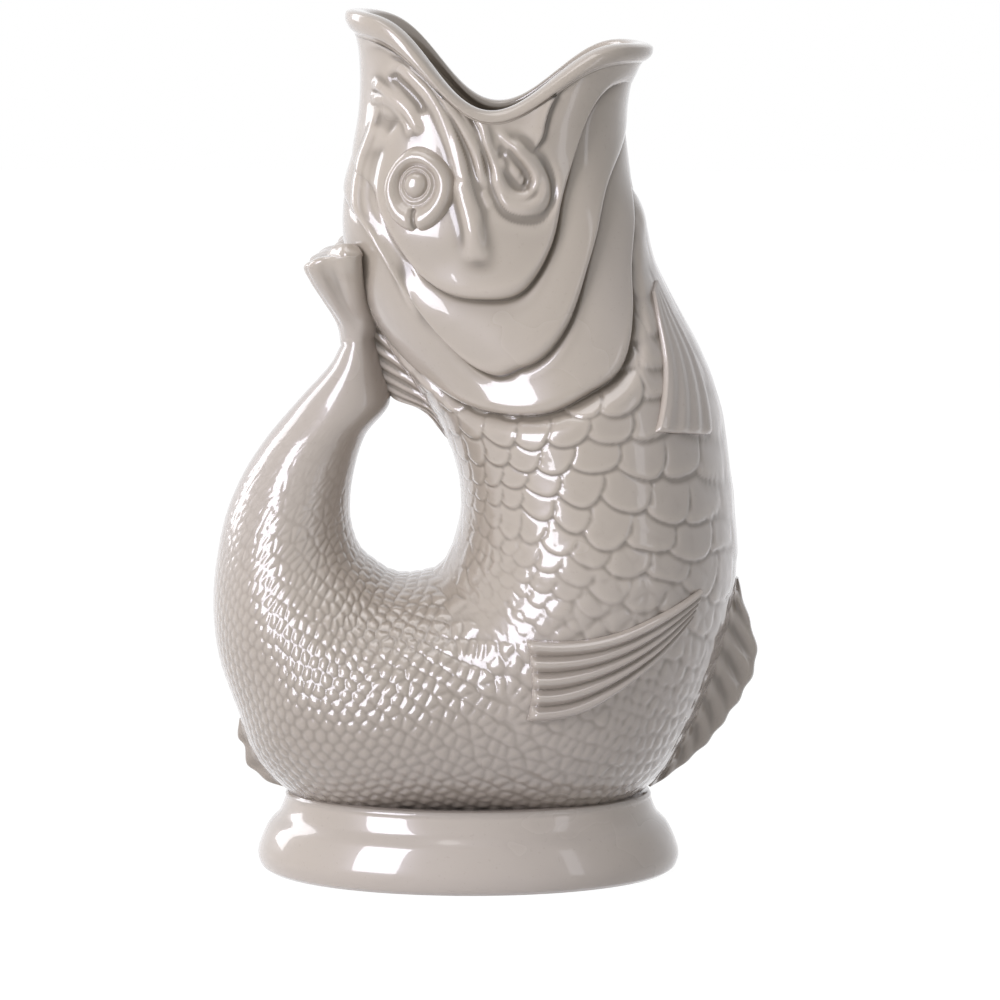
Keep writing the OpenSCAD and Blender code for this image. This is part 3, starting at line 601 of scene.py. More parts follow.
class Scales:
    """Rows of scales that overlap toward the tail. Row 0 is at the tip of the tail."""

    def __init__(self):
        self.size = jug().scales
        self.station = np.linspace(0, SCALES_END, SCALE_PLACES)
        per_station = skin_scale(self.station, 90)[0]
        pitch = self.at(ROW_HEIGHTS, self.station) * MM
        self.row = summed(per_station / pitch, np.diff(self.station))
        self.last = int(self.row[-1])
        middle = np.interp(np.arange(self.last + 1) + 0.5, self.row, self.station)[:, None]
        angle = np.arange(181.0)
        per_station, per_degree = skin_scale(middle, angle)
        pitch = self.at(ROW_HEIGHTS, middle) * MM
        self.height = pitch * per_station / per_station[:, 90:91]
        self.width = self.at(WIDE_SHARES, middle) * pitch * np.clip(self.height / pitch, 0.5, 1.3)
        column = summed((per_degree / self.width).T).T
        column = column - column[:, SCALE_START:SCALE_START + 1]
        for half in (slice(0, SCALE_START), slice(SCALE_START, 181)):
            whole = column[:, [0]] if half.start == 0 else column[:, [180]]
            column[:, half] *= np.round(2 * whole) / (2 * whole)
        self.column = column
        self.lay_pebbles()

    def lay_pebbles(self):
        """Row and column of a lattice of even cells at stations and angles, and how they change per metre."""
        station, angle = self.station[:, None], np.arange(181.0)
        per_station, per_degree = skin_scale(station, angle)
        pitch = self.at(ROW_HEIGHTS, station) * MM
        width = pitch * self.at(WIDE_SHARES, station)
        apart = self.station[1] - self.station[0]
        row = summed(per_station / pitch, apart)
        row = row - row[np.searchsorted(self.station, PLUMP_START)]
        column = summed((per_degree / width).T).T
        column = column - column[:, 90:91]
        self.lattice = np.stack([
            row, column, np.gradient(row, axis=1) / per_degree, 1 / pitch + 0 * row, 1 / width + 0 * row,
            np.gradient(column, apart, axis=0) / per_station, np.minimum(pitch, width) + 0 * row,
        ], -1)

    def at(self, table, station):
        return spline(table, station / SCALE_RUN)

    def measures(self, k, angle):
        """Column, height and width of the scales of row k at an angle."""
        row = np.clip(k, 0, self.last)
        a = np.minimum(angle.astype(int), 179)
        tables = (self.column, self.height, self.width)
        column, height, width = (mix(table[row, a], table[row, a + 1], angle - a) for table in tables)
        return column - 0.5 * (k % 2), height, width

    def strays(self, k, number):
        """Two even numbers between -0.5 and 0.5 for each scale."""
        return (
            np.mod(np.sin(k * 12.9898 + number * 78.233) * 43758.5453, 1) - 0.5,
            np.mod(np.sin(k * 39.346 + number * 11.135) * 24634.6345, 1) - 0.5,
        )

    def plates(self, row, angle, square):
        """Depth of flat scales that lie one over the next like tiles."""
        base = np.floor(row).astype(int)
        own, taken = {}, np.zeros(row.shape, bool)
        from_cover = np.full(row.shape, 1.0)
        reach, arch = self.size.reach, self.size.arch
        for k in (1, 0, -1):
            column, height, width = self.measures(base + k, angle)
            for back in (0, 1):
                number = np.floor(column + reach) - back
                x = column - number
                stray = self.strays(base + k, number)[0]
                t = np.clip(np.abs(x) / reach, 0, 1)
                left = np.maximum(1 - t**square, 0.03)
                tip = base + k + self.size.jitter * 2 * stray
                free = tip + arch * (1 - left ** (1 / square))
                slope = arch / reach * t ** (square - 1) * left ** (1 / square - 1)
                lean = np.hypot(1, slope * height / width)
                above = (row - free) * height / lean
                beside = (reach - np.abs(x)) * width
                inside = np.minimum(above, beside)
                last = k == -1 and back == 1
                mine = ~taken & ((inside > 0) | last)
                found = {
                    "inside": np.maximum(inside, 0), "run": np.maximum(row - tip, 0), "height": height,
                    "width": width, "stray": stray,
                }
                for key, value in found.items():
                    own[key] = np.where(mine, value, own.get(key, value))
                outside = np.hypot(np.maximum(-beside, 0), np.maximum(-above, 0))
                from_cover = np.where(~taken & ~mine, np.minimum(from_cover, outside), from_cover)
                taken = taken | mine
        size = np.minimum(own["height"], own["width"])
        step = self.size.step * own["height"] * (1 + 0.5 * own["stray"])
        rim, line = (np.clip(part * size, low * MM, high * MM) for part, low, high in (SCALE_RIM, SCALE_LINE))
        groove = self.size.groove * np.clip(size / (6 * MM), 0.5, 1.15)
        cut = np.minimum(np.exp(-((from_cover / line) ** 2)) + np.exp(-((2 * own["inside"] / line) ** 2)), 1)
        slope = np.clip(own["run"] / 1.5, 0, 1)
        return step * np.maximum(slope, 1 - rounded(own["inside"] / rim)) + groove * cut

    def pebbles(self, station, angle):
        """Depth of plump scales that lie side by side like pebbles."""
        i, a = station / (self.station[1] - self.station[0]), angle
        i0, a0 = np.minimum(i.astype(int), len(self.station) - 2), np.minimum(a.astype(int), 179)
        i, a = (i - i0)[..., None], (a - a0)[..., None]
        near = mix(
            mix(self.lattice[i0, a0], self.lattice[i0 + 1, a0], i),
            mix(self.lattice[i0, a0 + 1], self.lattice[i0 + 1, a0 + 1], i), a,
        )
        row, column, row_x, row_y, column_x, column_y, size = np.moveaxis(near, -1, 0)
        turn = row_x * column_y - row_y * column_x
        base_row, base_column = np.floor(row), np.floor(column)
        best, second = np.full(row.shape, 1.0), np.full(row.shape, 2.0)
        seed_x, seed_y, apart = np.zeros_like(row), np.zeros_like(row), np.full(row.shape, 1.0)
        for k in range(-2, 3):
            for m in range(-2, 3):
                down, along_row = self.strays(base_row + k, base_column + m)
                offset = 0.5 * np.mod(base_row + k, 2)
                to_row = base_row + k + 0.5 + self.size.plump_sink * down - row
                to_column = base_column + m + offset + self.size.plump_shift * along_row - column
                x = (to_row * column_y - to_column * row_y) / turn
                y = (to_column * row_x - to_row * column_x) / turn
                distance = x * x + y * y
                nearer = distance < best
                runner = ~nearer & (distance < second)
                other = np.maximum(np.hypot(x - seed_x, y - seed_y), 0.1 * MM)
                apart = np.where(nearer | runner, other, apart)
                second = np.where(nearer, best, np.where(runner, distance, second))
                best = np.where(nearer, distance, best)
                seed_x, seed_y = np.where(nearer, x, seed_x), np.where(nearer, y, seed_y)
        border = np.maximum((second - best) / (2 * apart), 0)
        inside = np.clip(self.size.plump_reach * size - np.sqrt(best), 0, border)
        fall = (1 - np.clip(inside / (0.5 * size), 0, 1)) ** 2
        tilt = self.size.plump_tilt * np.clip(seed_y / size, -0.7, 0.7)
        groove = 0.25 * self.size.groove * np.exp(-((inside / self.size.plump_line) ** 2))
        return self.size.dome * size * np.clip(fall + 0.2 - tilt, 0, 1.5) + groove

    def depth(self, station, angle):
        """How deep the scales cut into the skin at places."""
        a = fold(angle)
        wander = 0.12 * np.sin(1.9 * station + a / 17) + 0.1 * np.sin(a / 7.3 - 1.3 * station)
        row = np.interp(station, self.station, self.row) + wander
        a = np.clip(a + 0.7 * np.sin(2.3 * station + a / 11), 0, 180)
        square = np.clip(4.2 - 2.2 * a / 90, 2.1, 4)
        worked = self.at(WORKED_SHARES, station) * spline(ROUND_SHARES, a / EDGE_ANGLE)
        plump = np.clip(self.at(PLUMP_SHARES, station), 0, 1)
        return mix(self.plates(row, a, square), self.pebbles(station, a), plump) * np.clip(worked, 0, 1)


def stations(start, end):
    """Stations from start to end whose rows lie a grain apart where the flank turns to the belly."""
    fine = np.linspace(start, end, 240)
    run = running_sum(np.linalg.norm(np.diff(skin(fine, 45), axis=0), axis=1))
    rows = math.ceil(run[-1] / jug().skin.grain)
    return np.interp(np.linspace(0, run[-1], rows + 1), run, fine)


def band(low, high, angle, fine_low=True):
    """Rows of stations from one edge to the next, close together beside a free edge."""
    fine = np.array([0.08, 0.12, 0.16, 0.22, 0.28, 0.34, 0.4, 0.45, 0.5]) * MM
    places = mix(low, high, np.linspace(0, 1, 24)[:, None])
    whole = np.linalg.norm(np.diff(skin(places, angle), axis=0), axis=-1).sum(0)
    low_run = running_sum(fine) if fine_low else np.zeros(1)
    high_run = running_sum(fine)
    ends = low_run[-1] + high_run[-1]
    narrow = np.minimum(1, 0.6 * whole / ends)
    middle = math.ceil(max(np.percentile(whole, 60) - ends, 2 * MM) / (1.1 * jug().skin.grain))
    inner = np.linspace(0, 1, middle + 1)[1:-1, None]
    rest = whole - narrow * ends
    below = narrow * low_run[:, None]
    between = narrow * low_run[-1] + inner * rest
    above = whole - narrow * high_run[::-1, None]
    run = np.concatenate([below, between, above]) / whole
    return mix(low, high, np.clip(run, 0, 1))


class Hide:
    """Outer skin of the whole fish as one grid, with its relief, normals and hollows, and painted shade
    behind the gill covers' free edges.
    """

    def __init__(self):
        head = jug().head
        columns = jug().skin.columns
        self.angle = np.arange(columns) * 360 / columns
        edges = [edge(table, self.angle) for table in (GILL_OUTER, GILL_MIDDLE, GILL_INNER, LIP_EDGE)]
        level = np.full(columns, LEVEL_END)
        parts = [
            np.repeat(stations(0, TAIL_ROOT)[:, None], columns, 1),
            np.repeat(stations(TAIL_ROOT, LEVEL_END)[1:, None], columns, 1),
            band(level, edges[0], self.angle, False)[1:],
            band(edges[0], edges[1], self.angle)[1:],
            band(edges[1], edges[2], self.angle)[1:],
            band(edges[2], edges[3], self.angle)[1:],
        ]
        self.station = np.concatenate(parts)
        ends = np.cumsum([len(p) for p in parts]) - 1
        self.seams = dict(zip(("tail", "level", "outer", "middle", "inner", "lip"), ends))
        scaled = smooth((edges[0] - self.station) / 0.02)
        self.depth = Scales().depth(self.station, self.angle[None, :]) * scaled
        steps = (OUTER_STEP_SHARES, MIDDLE_STEP_SHARES, INNER_STEP_SHARES)
        shade = np.zeros_like(self.depth)
        low = level
        for high, table in zip(edges[:3], steps):
            per_station = skin_scale(high, self.angle)[0]
            step = head.gill_step * edge(table, self.angle)
            past = (self.station - high) * per_station
            if high is edges[0]:
                fall = smooth(1 + past / head.gill_fall) ** 2
            else:
                fall = np.clip((self.station - low) / (high - low), 0, 1) ** 1.4
            fall = np.where(self.station > low, fall, 0)
            rim = 1 - rounded(past / head.gill_rim)
            groove = 0.2 * step * np.exp(-((past / head.gill_line) ** 2))
            self.depth = self.depth + step * np.where(past < 0, fall, rim) + groove
            # Painted shade: a dark band behind each free edge, where the raised gill cover shades the skin
            behind = head.gill_shade * np.where(past < 0, 1, 0.25)
            shade = shade + edge(table, self.angle) * np.exp(-((past / behind) ** 2))
            low = high
        start = self.seams["outer"] - 30
        self.depth[start:] -= cheek_relief(skin(self.station[start:], self.angle))
        self.depth = softened(self.depth)
        near_keel = smooth((KEEL_SOFT_ANGLE - np.minimum(self.angle, 360 - self.angle)) / KEEL_SOFT_FADE)
        plump = np.clip(spline(PLUMP_SHARES, self.station / SCALE_RUN), 0, PLUMP_SOFT_SHARE)
        for _ in range(SOFT_ROUNDS):
            self.depth = mix(self.depth, softened(self.depth), np.maximum(near_keel, plump))
        self.points = skin(self.station, self.angle, self.depth)
        self.normals = grid_normals(self.points, True)
        # Glaze pooled in hollows together with the painted shade behind the gill edges, in one value
        self.pool = np.clip(hollows(self.depth, True) + 0.55 * shade, -1, 1)


@functools.lru_cache(maxsize=1)
def hide():
    return Hide()


def grid_faces(rows, columns, looped_rows=False, looped_columns=True):
    """Corners of the faces of a grid, row by row."""
    i = np.arange(rows if looped_rows else rows - 1)[:, None]
    j = np.arange(columns if looped_columns else columns - 1)[None, :]
    k, m = (i + 1) % rows, (j + 1) % columns
    faces = np.stack([i * columns + j, i * columns + m, k * columns + m, k * columns + j], -1)
    return faces.reshape(-1, 4)


def grid_uvs(points, looped_rows=False, looped_columns=True):
    """Corners of the same faces on a square, with rows as far apart as they are in space."""
    rows, columns = points.shape[:2]
    lengths = np.linalg.norm(np.diff(points, axis=0), axis=-1).mean(1)
    if looped_rows:
        lengths = np.append(lengths, np.linalg.norm(points[0] - points[-1], axis=-1).mean())
    v = running_sum(lengths + 1e-6)
    v = v / v[-1]
    u = np.arange(columns + 1) / (columns if looped_columns else columns - 1)
    i = np.arange(rows if looped_rows else rows - 1)[:, None]
    j = np.arange(columns if looped_columns else columns - 1)[None, :]
    i, j = np.broadcast_arrays(i, j)
    corners = [(u[j], v[i]), (u[j + 1], v[i]), (u[j + 1], v[i + 1]), (u[j], v[i + 1])]
    return np.stack([np.stack(c, -1) for c in corners], -2).reshape(-1, 2)


def set_values(mesh, name, values):
    """Gives the points of a mesh a number or a vector each."""
    vectors = values.size > len(mesh.vertices)
    kind, key = ("FLOAT_VECTOR", "vector") if vectors else ("FLOAT", "value")
    mesh.attributes.new(name, kind, "POINT").data.foreach_set(key, values.astype(np.float32).ravel())


def new_mesh(name, points, face_groups, uvs, pool, normals=None):
    """Mesh from points and groups of faces with as many corners each."""
    mesh = bpy.data.meshes.new(name)
    points = points.reshape(-1, 3)
    corners = np.concatenate([f.ravel() for f in face_groups])
    sizes = np.concatenate([np.full(len(f), f.shape[1]) for f in face_groups])
    mesh.vertices.add(len(points))
    mesh.vertices.foreach_set("co", np.ascontiguousarray(points, np.float32).ravel())
    mesh.loops.add(len(corners))
    mesh.loops.foreach_set("vertex_index", corners.astype(np.int32))
    mesh.polygons.add(len(sizes))
    mesh.polygons.foreach_set("loop_start", (np.cumsum(sizes) - sizes).astype(np.int32))
    rest = np.full((len(corners) - len(uvs), 2), 0.5)
    layer = mesh.uv_layers.new(name="OFBake")
    layer.uv.foreach_set("vector", np.concatenate([uvs, rest]).astype(np.float32).ravel())
    set_values(mesh, "pool", pool)
    if normals is not None:
        set_values(mesh, "skin_normal", normals)
    mesh.update(calc_edges=True)
    mesh.shade_smooth()
    return mesh


def looped_mesh(name, points, pool, normals=None):
    """Mesh of a grid that closes on itself both ways."""
    rows, columns = points.shape[:2]
    return new_mesh(name, points, [grid_faces(rows, columns, True)], grid_uvs(points, True), pool, normals)


def cut_level(mesh, height):
    """Cuts away what lies below a height and closes the cut."""
    bm = bmesh.new()
    bm.from_mesh(mesh)
    everything = bm.verts[:] + bm.edges[:] + bm.faces[:]
    bmesh.ops.bisect_plane(bm, geom=everything, plane_co=(0, 0, height), plane_no=(0, 0, 1), clear_inner=True)
    rim = [e for e in bm.edges if e.is_boundary]
    bmesh.ops.triangle_fill(bm, edges=rim, normal=(0, 0, -1))
    bm.to_mesh(mesh)
    bm.free()


def add_piece(name, mesh, nodes):
    """Adds a piece to the scene in the place of nodes of the frame."""
    if "skin_normal" in mesh.attributes:
        normals = np.empty(3 * len(mesh.vertices), np.float32)
        mesh.attributes["skin_normal"].data.foreach_get("vector", normals)
        mesh.normals_split_custom_set_from_vertices(unit(normals.reshape(-1, 3)))
        mesh.attributes.remove(mesh.attributes["skin_normal"])
    mesh.materials.append(glaze_material())
    obj = bpy.data.objects.new(name, mesh)
    bpy.context.scene.collection.objects.link(obj)
    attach(obj, BODY)
    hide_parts(*nodes)
    return obj


def add_shell(name, first, last, nodes, inner_stations, cut=False):
    """Closed piece of the hollow skin between two rows of the hide."""
    h = hide()
    outer = slice(first, last + 1)
    wall = jug().skin.wall
    inner = np.stack([skin(t, h.angle, wall) for t in inner_stations])
    points = np.concatenate([h.points[outer], inner])
    normals = np.concatenate([h.normals[outer], grid_normals(inner, True)])
    pool = np.concatenate([h.pool[outer], np.zeros(inner.shape[:2])])
    mesh = looped_mesh(name, points, pool, normals)
    if cut:
        cut_level(mesh, FOOT_TOP)
    return add_piece(name, mesh, nodes)


def inner_rows(high, low, count):
    """Stations of the inner wall's rows, from the high end of a piece down to its low end."""
    return [mix(high, low, u) for u in np.linspace(0, 1, count)]


def cap(columns, pole, start=None):
    """Faces from a pole to the first row of a tube, or to the last row, which begins at start."""
    j = np.arange(columns)
    m = (j + 1) % columns
    ring = (m, j) if start is None else (start + j, start + m)
    return np.stack([np.full(columns, pole), *ring], -1)


def capped(points):
    """Points and faces of a tube closed by a pole at each end."""
    rows, columns = points.shape[:2]
    flat = np.concatenate([points.reshape(-1, 3), [points[0].mean(0), points[-1].mean(0)]])
    pole = rows * columns
    return flat, [grid_faces(rows, columns), cap(columns, pole), cap(columns, pole + 1, pole - columns)]


def capped_mesh(name, points, depth=None):
    """Mesh of such a tube, pooled where a depth is given."""
    flat, faces = capped(points)
    pool = np.zeros(len(flat))
    if depth is not None:
        pool[:-2] = hollows(depth, True).ravel()
    return new_mesh(name, flat, faces, grid_uvs(points), pool)


def pillow(name, top, bed, lift):
    """Closed sheet between a top and a bed that meet at their borders."""
    rows, columns = top.shape[:2]
    top = top.copy()
    border = np.zeros((rows, columns), bool)
    border[[0, -1]] = border[:, [0, -1]] = True
    top[border] = bed[border]
    number = np.arange(rows * columns).reshape(rows, columns)
    under = np.where(border, number, 0)
    under[~border] = rows * columns + np.arange((~border).sum())
    upper = grid_faces(rows, columns, looped_columns=False)
    lower = under.ravel()[upper][:, ::-1]
    points = np.concatenate([top.reshape(-1, 3), bed[~border]])
    pool = np.zeros(len(points))
    pool[:rows * columns] = hollows(-lift, False).ravel()
    uvs = grid_uvs(top, looped_columns=False)
    below = uvs.reshape(-1, 4, 2)[:, ::-1].reshape(-1, 2)
    spread = np.concatenate([uvs * [1, 0.8], below * [1, 0.18] + [0, 0.82]])
    return new_mesh(name, points, [upper, lower], spread, pool)


def shares(count, crowding=0.7):
    """Shares from 0 to 1 that crowd toward both ends."""
    u = np.linspace(0, 1, count)
    return mix(u, (1 - np.cos(np.pi * u)) / 2, crowding)


def mirrored(points):
    """Points on the right of the fish, with their rows turned so that faces still look out."""
    return (points * [1, -1, 1])[:, ::-1]


def skin_fin(node, stand, first, second, rows, columns, rib_count, rise, relief, power):
    """Fin that lies on the skin, with rounded free edges."""
    fins = jug().fins
    u, v = shares(rows)[:, None], shares(columns, 0.35)[None, :]
    spot = mix(along(first, u), along(second, u), v[..., None])
    rib = relief[0] + relief[1] * ribs(rib_count, v) ** power
    lift = fins.edge + stand * (rise[0] + rise[1] * u) * rib
    ends = rounded(v / 0.035) * rounded((1 - v) / 0.035) * rounded((1 - u) / 0.05)
    height = (lift + fins.root) * ends - fins.root
    top = skin(spot[..., 0], spot[..., 1], -height)
    bed = skin(spot[..., 0], spot[..., 1], fins.root)
    if node.endswith("right"):
        top, bed, height = mirrored(top), mirrored(bed), height[:, ::-1]
    return add_piece(f"glazed_{node}", pillow(node, top, bed, height), [node])


def keel_fin(node, height, span, rail, root_mm, outline, rib_count, slant, relief, rows):
    """Blade that stands on a rail over a span of stations, with ribs that lean down as they run out."""
    u, w = shares(rows, 0.3)[:, None], np.linspace(-1, 1, 57)[None, :]
    section = along(KEEL_SECTION, 1 - np.abs(w))
    rib = ribs(rib_count, u + slant * section[..., 1])
    station = mix(span[0], span[1], u) + 0 * w
    thickness = section[..., 0] * root_mm * MM * (1 - relief + relief * rib)
    per_degree = skin_scale(station, rail)[1]
    angle = rail + np.sign(w) * thickness / per_degree
    reach = height * along(outline, u) * (0.93 + 0.07 * rib)
    top = skin(station, angle, 0, math.cos(math.radians(rail)) * reach * section[..., 1])
    bed = skin(station, angle, jug().fins.root)
    return add_piece(f"glazed_{node}", pillow(node, top, bed, thickness), [node])


class JUG_OT_tail(bpy.types.Operator):
    """Build the hollow tail that curls up behind the head"""

    bl_idname = "jug.tail"
    bl_label = "Tail"

    def execute(self, context):
        h = hide()
        last = h.seams["tail"]
        inner = np.stack([skin(t, h.angle, 0.8 * jug().skin.wall) for t in inner_rows(TAIL_ROOT, 1.5, 24)])
        points = np.concatenate([h.points[:last + 1], inner])
        flat, faces = capped(points)
        normals = np.concatenate([h.normals[:last + 1], grid_normals(inner, True)]).reshape(-1, 3)
        normals = np.concatenate([normals, [[-0.5, 0, 0.9], [0, 0, -1]]])
        pool = np.zeros(len(flat))
        pool[:h.pool[:last + 1].size] = h.pool[:last + 1].ravel()
        add_piece("curled_tail", new_mesh("tail", flat, faces, grid_uvs(points), pool, normals), ["tail"])
        return {"FINISHED"}


class JUG_OT_body(bpy.types.Operator):
    """Build the hollow body from the root of the tail to the gill covers, in rings"""

    bl_idname = "jug.body"
    bl_label = "Body"

    def execute(self, context):
        h = hide()
        first, last = h.seams["tail"], h.seams["outer"]
        cuts = [int(round(mix(first, last, u))) for u in (0, 1 / 3, 2 / 3, 1)]
        edge_stations = edge(GILL_OUTER, h.angle)
        for name, low, high in zip(("haunch", "flank", "breast"), cuts, cuts[1:]):
            high_station = edge_stations if high == last else h.station[high]
            rows = inner_rows(high_station, h.station[low], 24)
            add_shell(name, low, high, ["belly"], rows, cut=h.points[low:high + 1, :, 2].min() < FOOT_TOP)
        return {"FINISHED"}


class JUG_OT_head(bpy.types.Operator):
    """Build the head from its gill covers to the lips, with the folds of its cheeks"""

    bl_idname = "jug.head"
    bl_label = "Head"

    def execute(self, context):
        h = hide()
        nodes = ["head", "brow_left", "brow_right", "mouth_fold_left", "mouth_fold_right"]
        middle = (h.seams["outer"] + h.seams["lip"]) // 2
        for name, low, high in (("gill_covers", h.seams["outer"], middle), ("face", middle, h.seams["lip"])):
            add_shell(name, low, high, nodes, inner_rows(h.station[high], h.station[low], 40))
        return {"FINISHED"}


class JUG_OT_lips(bpy.types.Operator):
    """Build the rolled lip round the open mouth"""

    bl_idname = "jug.lips"
    bl_label = "Lips"

    def execute(self, context):
        head, wall = jug().head, jug().skin.wall
        roll, crown = head.lip_roll, head.lip_crown
        section = np.array([
            [0, 0, 0], [0.15, -0.15 * roll, 0], [0.35, -0.8 * roll, 0], [0.75, -roll, 0],
            [1, -0.5 * roll, 0.55 * crown], [1, 0.15 * wall, 0.95 * crown], [1, 0.5 * wall, crown],
            [1, 0.8 * wall, 0.85 * crown], [1, wall, 0.5 * crown], [0.7, wall + 0.4 * roll, 0], [0, wall, 0],
        ])
        angle = hide().angle
        rim = edge(LIP_EDGE, angle)
        places = along(section, np.linspace(0, 1, 90))
        points = np.stack([skin(mix(rim, LAST, s[0]), angle, s[1], rise=s[2]) for s in places])
        pool = np.zeros(points.shape[:2])
        pool[:8] = np.linspace(0.8, 0, 8)[:, None]
        add_piece("rolled_lip", looped_mesh("lips", points, pool), ["lips"])
        return {"FINISHED"}


class JUG_OT_tail_fin(bpy.types.Operator):
    """Build the tail fin that lies against the back of the head"""

    bl_idname = "jug.tail_fin"
    bl_label = "Tail Fin"

    def execute(self, context):
        skin_sizes, fins, h = jug().skin, jug().fins, hide()
        table = np.array(TAIL_FIN_STATIONS)
        inner = skin(table[:, 0], 180)[:, [0, 2]] + [fins.tail_seat, 0]
        inner[0] = skin(0, 180)[[0, 2]]
        outer = np.stack([table[:, 1] * skin_sizes.body_l, FOOT_TOP + table[:, 2] * skin_sizes.body_h], -1)
        side_rows, top_rows = 120, 26
        run = np.concatenate([np.linspace(0, 1, side_rows), np.ones(top_rows)])[:, None]
        closing = np.concatenate([np.zeros(side_rows), np.linspace(0, 0.96, top_rows + 1)[1:]])[:, None]
        closing = closing * np.pi / 2
        shape = along(np.concatenate([inner, outer, table[:, 3:]], 1), run[:, 0])
        inner, outer, wide = shape[:, :2], shape[:, 2:4], shape[:, 4:] * fins.tail_w / 2
        reach = outer - inner
        half = np.linalg.norm(reach, axis=1, keepdims=True) / 2
        out = reach / (2 * half)
        up = np.stack([out[:, 1], -out[:, 0]], -1)
        a = np.radians(h.angle)[None, :]
        corner = 1 - 0.35 * smooth(2 * run)
        v = np.sign(np.sin(a)) * np.abs(np.sin(a)) ** corner
        u = np.sign(np.cos(a)) * np.abs(np.cos(a)) ** corner
        grown = smooth(1.8 * run)
        flutes = fins.tail_flute * grown * (1 - ribs(3, v)) * smooth(1.6 * u) * np.cos(closing)
        line = mix(0.1, 0.7, run**2)
        dent = fins.tail_dent * np.exp(-(((u - line) / 0.26) ** 2))
        dent = dent - fins.tail_ridge * np.exp(-(((u - line + 0.6) / 0.24) ** 2))
        dent = dent * grown * smooth((np.abs(v) - 0.35) / 0.4) * np.cos(closing)
        drop = fins.tail_cleft * run**3 * (1 - np.abs(v)) ** 1.5
        middle = (inner + outer) / 2
        flat = middle[:, None] + ((half * np.cos(closing) - flutes) * u)[..., None] * out[:, None]
        flat = flat + (fins.tail_crown * np.sin(closing) - drop)[..., None] * up[:, None]
        y = -wide * v * (1 - 0.12 * np.sin(closing) ** 2) + np.sign(v) * dent
        head_depth = 0.85 * skin_sizes.body_d / 2
        wrap = fins.tail_wrap * (1 - np.sqrt(1 - np.clip(y / head_depth, -0.9, 0.9) ** 2))
        x = flat[..., 0] + wrap * grown * mix(1.0, 0.1, smooth((u + 1) / 2))
        points = np.stack([x, y, flat[..., 1]], -1)
        depth = flutes + np.maximum(dent, 0)
        rows, columns = points.shape[:2]
        flat = np.concatenate([points.reshape(-1, 3), [points[0].mean(0)]])
        quarter, facing, start = columns // 4, columns // 2, (rows - 1) * columns
        j = np.arange(1 - quarter, quarter - 1)
        seam = np.stack([j % columns, (j + 1) % columns, facing - j - 1, facing - j], -1) + start
        tips = np.array([[-1, 0, 1], [2 * quarter, 2 * quarter + 1, 2 * quarter - 1]]) + quarter + start
        faces = [grid_faces(rows, columns), cap(columns, rows * columns), tips, seam]
        pool = np.append(hollows(depth, True).ravel(), 0)
        normals = grid_normals(points, True)
        tail_normals = np.roll(h.normals[0][::-1], 1, 0)
        joint = smooth(np.arange(len(points)) / 9)[:, None, None]
        normals = unit(mix(tail_normals, normals, joint)).reshape(-1, 3)
        normals = np.concatenate([normals, [[0, 0, -1]]])
        mesh = new_mesh("tail_fin", flat, faces, grid_uvs(points), pool, normals)
        add_piece("glazed_tail_fin", mesh, ["tail_fin"])
        return {"FINISHED"}


class JUG_OT_keel_fins(bpy.types.Operator):
    """Build the ribbed fins along the belly, behind the foot and under the head"""

    bl_idname = "jug.keel_fins"
    bl_label = "Keel Fins"

    def execute(self, context):
        for name, form in KEEL_FINS.items():
            keel_fin(f"{name}_fin", getattr(jug().fins, name), *form)
        return {"FINISHED"}


class JUG_OT_side_fins(bpy.types.Operator):
    """Build the fins that lie on the flanks and along the throat"""

    bl_idname = "jug.side_fins"
    bl_label = "Side and Throat Fins"

    def execute(self, context):
        for side in ("left", "right"):
            for name, form in SKIN_FINS.items():
                skin_fin(f"{name}_fin_{side}", getattr(jug().fins, name), *form)
        return {"FINISHED"}


class JUG_OT_eyes(bpy.types.Operator):
    """Build the eyes, each a ball in two rings"""

    bl_idname = "jug.eyes"
    bl_label = "Eyes"

    def execute(self, context):
        head = jug().head
        per_station, per_degree = skin_scale(EYE_STATION, EYE_ANGLE)
        section = along(EYE_SECTION, np.linspace(0.004, 1, 120))
        radius = np.concatenate([section[:, 0], [1, 0.5, 0.02]])[:, None]
        b = np.linspace(0, 2 * np.pi, 160, endpoint=False)[None, :]
        lift = np.concatenate([section[:, 1], [-0.4, -0.4, -0.4]])[:, None] * head.eye_proud
        across, up = radius * head.eye_w / 2 * np.cos(b), radius * head.eye_h / 2 * np.sin(b)
        inward = np.clip(1 - radius, 0, 1)
        split = 0.5 * head.eye_proud * np.exp(-((across / head.eye_split) ** 2)) * (np.sin(b) < 0)
        split = split * smooth((radius - 0.5) / 0.1) * smooth((1.1 - radius) / 0.1)
        split[-3:] = 0
        station = EYE_STATION + (up + head.eye_rise * inward) / per_station
        angle = EYE_ANGLE - (across - head.eye_turn * inward) / per_degree
        depth = split - lift
        points = skin(station, angle, depth)
        for side, grid, relief in (("left", points, depth), ("right", mirrored(points), depth[:, ::-1])):
            add_piece(f"ringed_eye_{side}", capped_mesh(f"eye_{side}", grid, relief), [f"eye_{side}"])
        return {"FINISHED"}


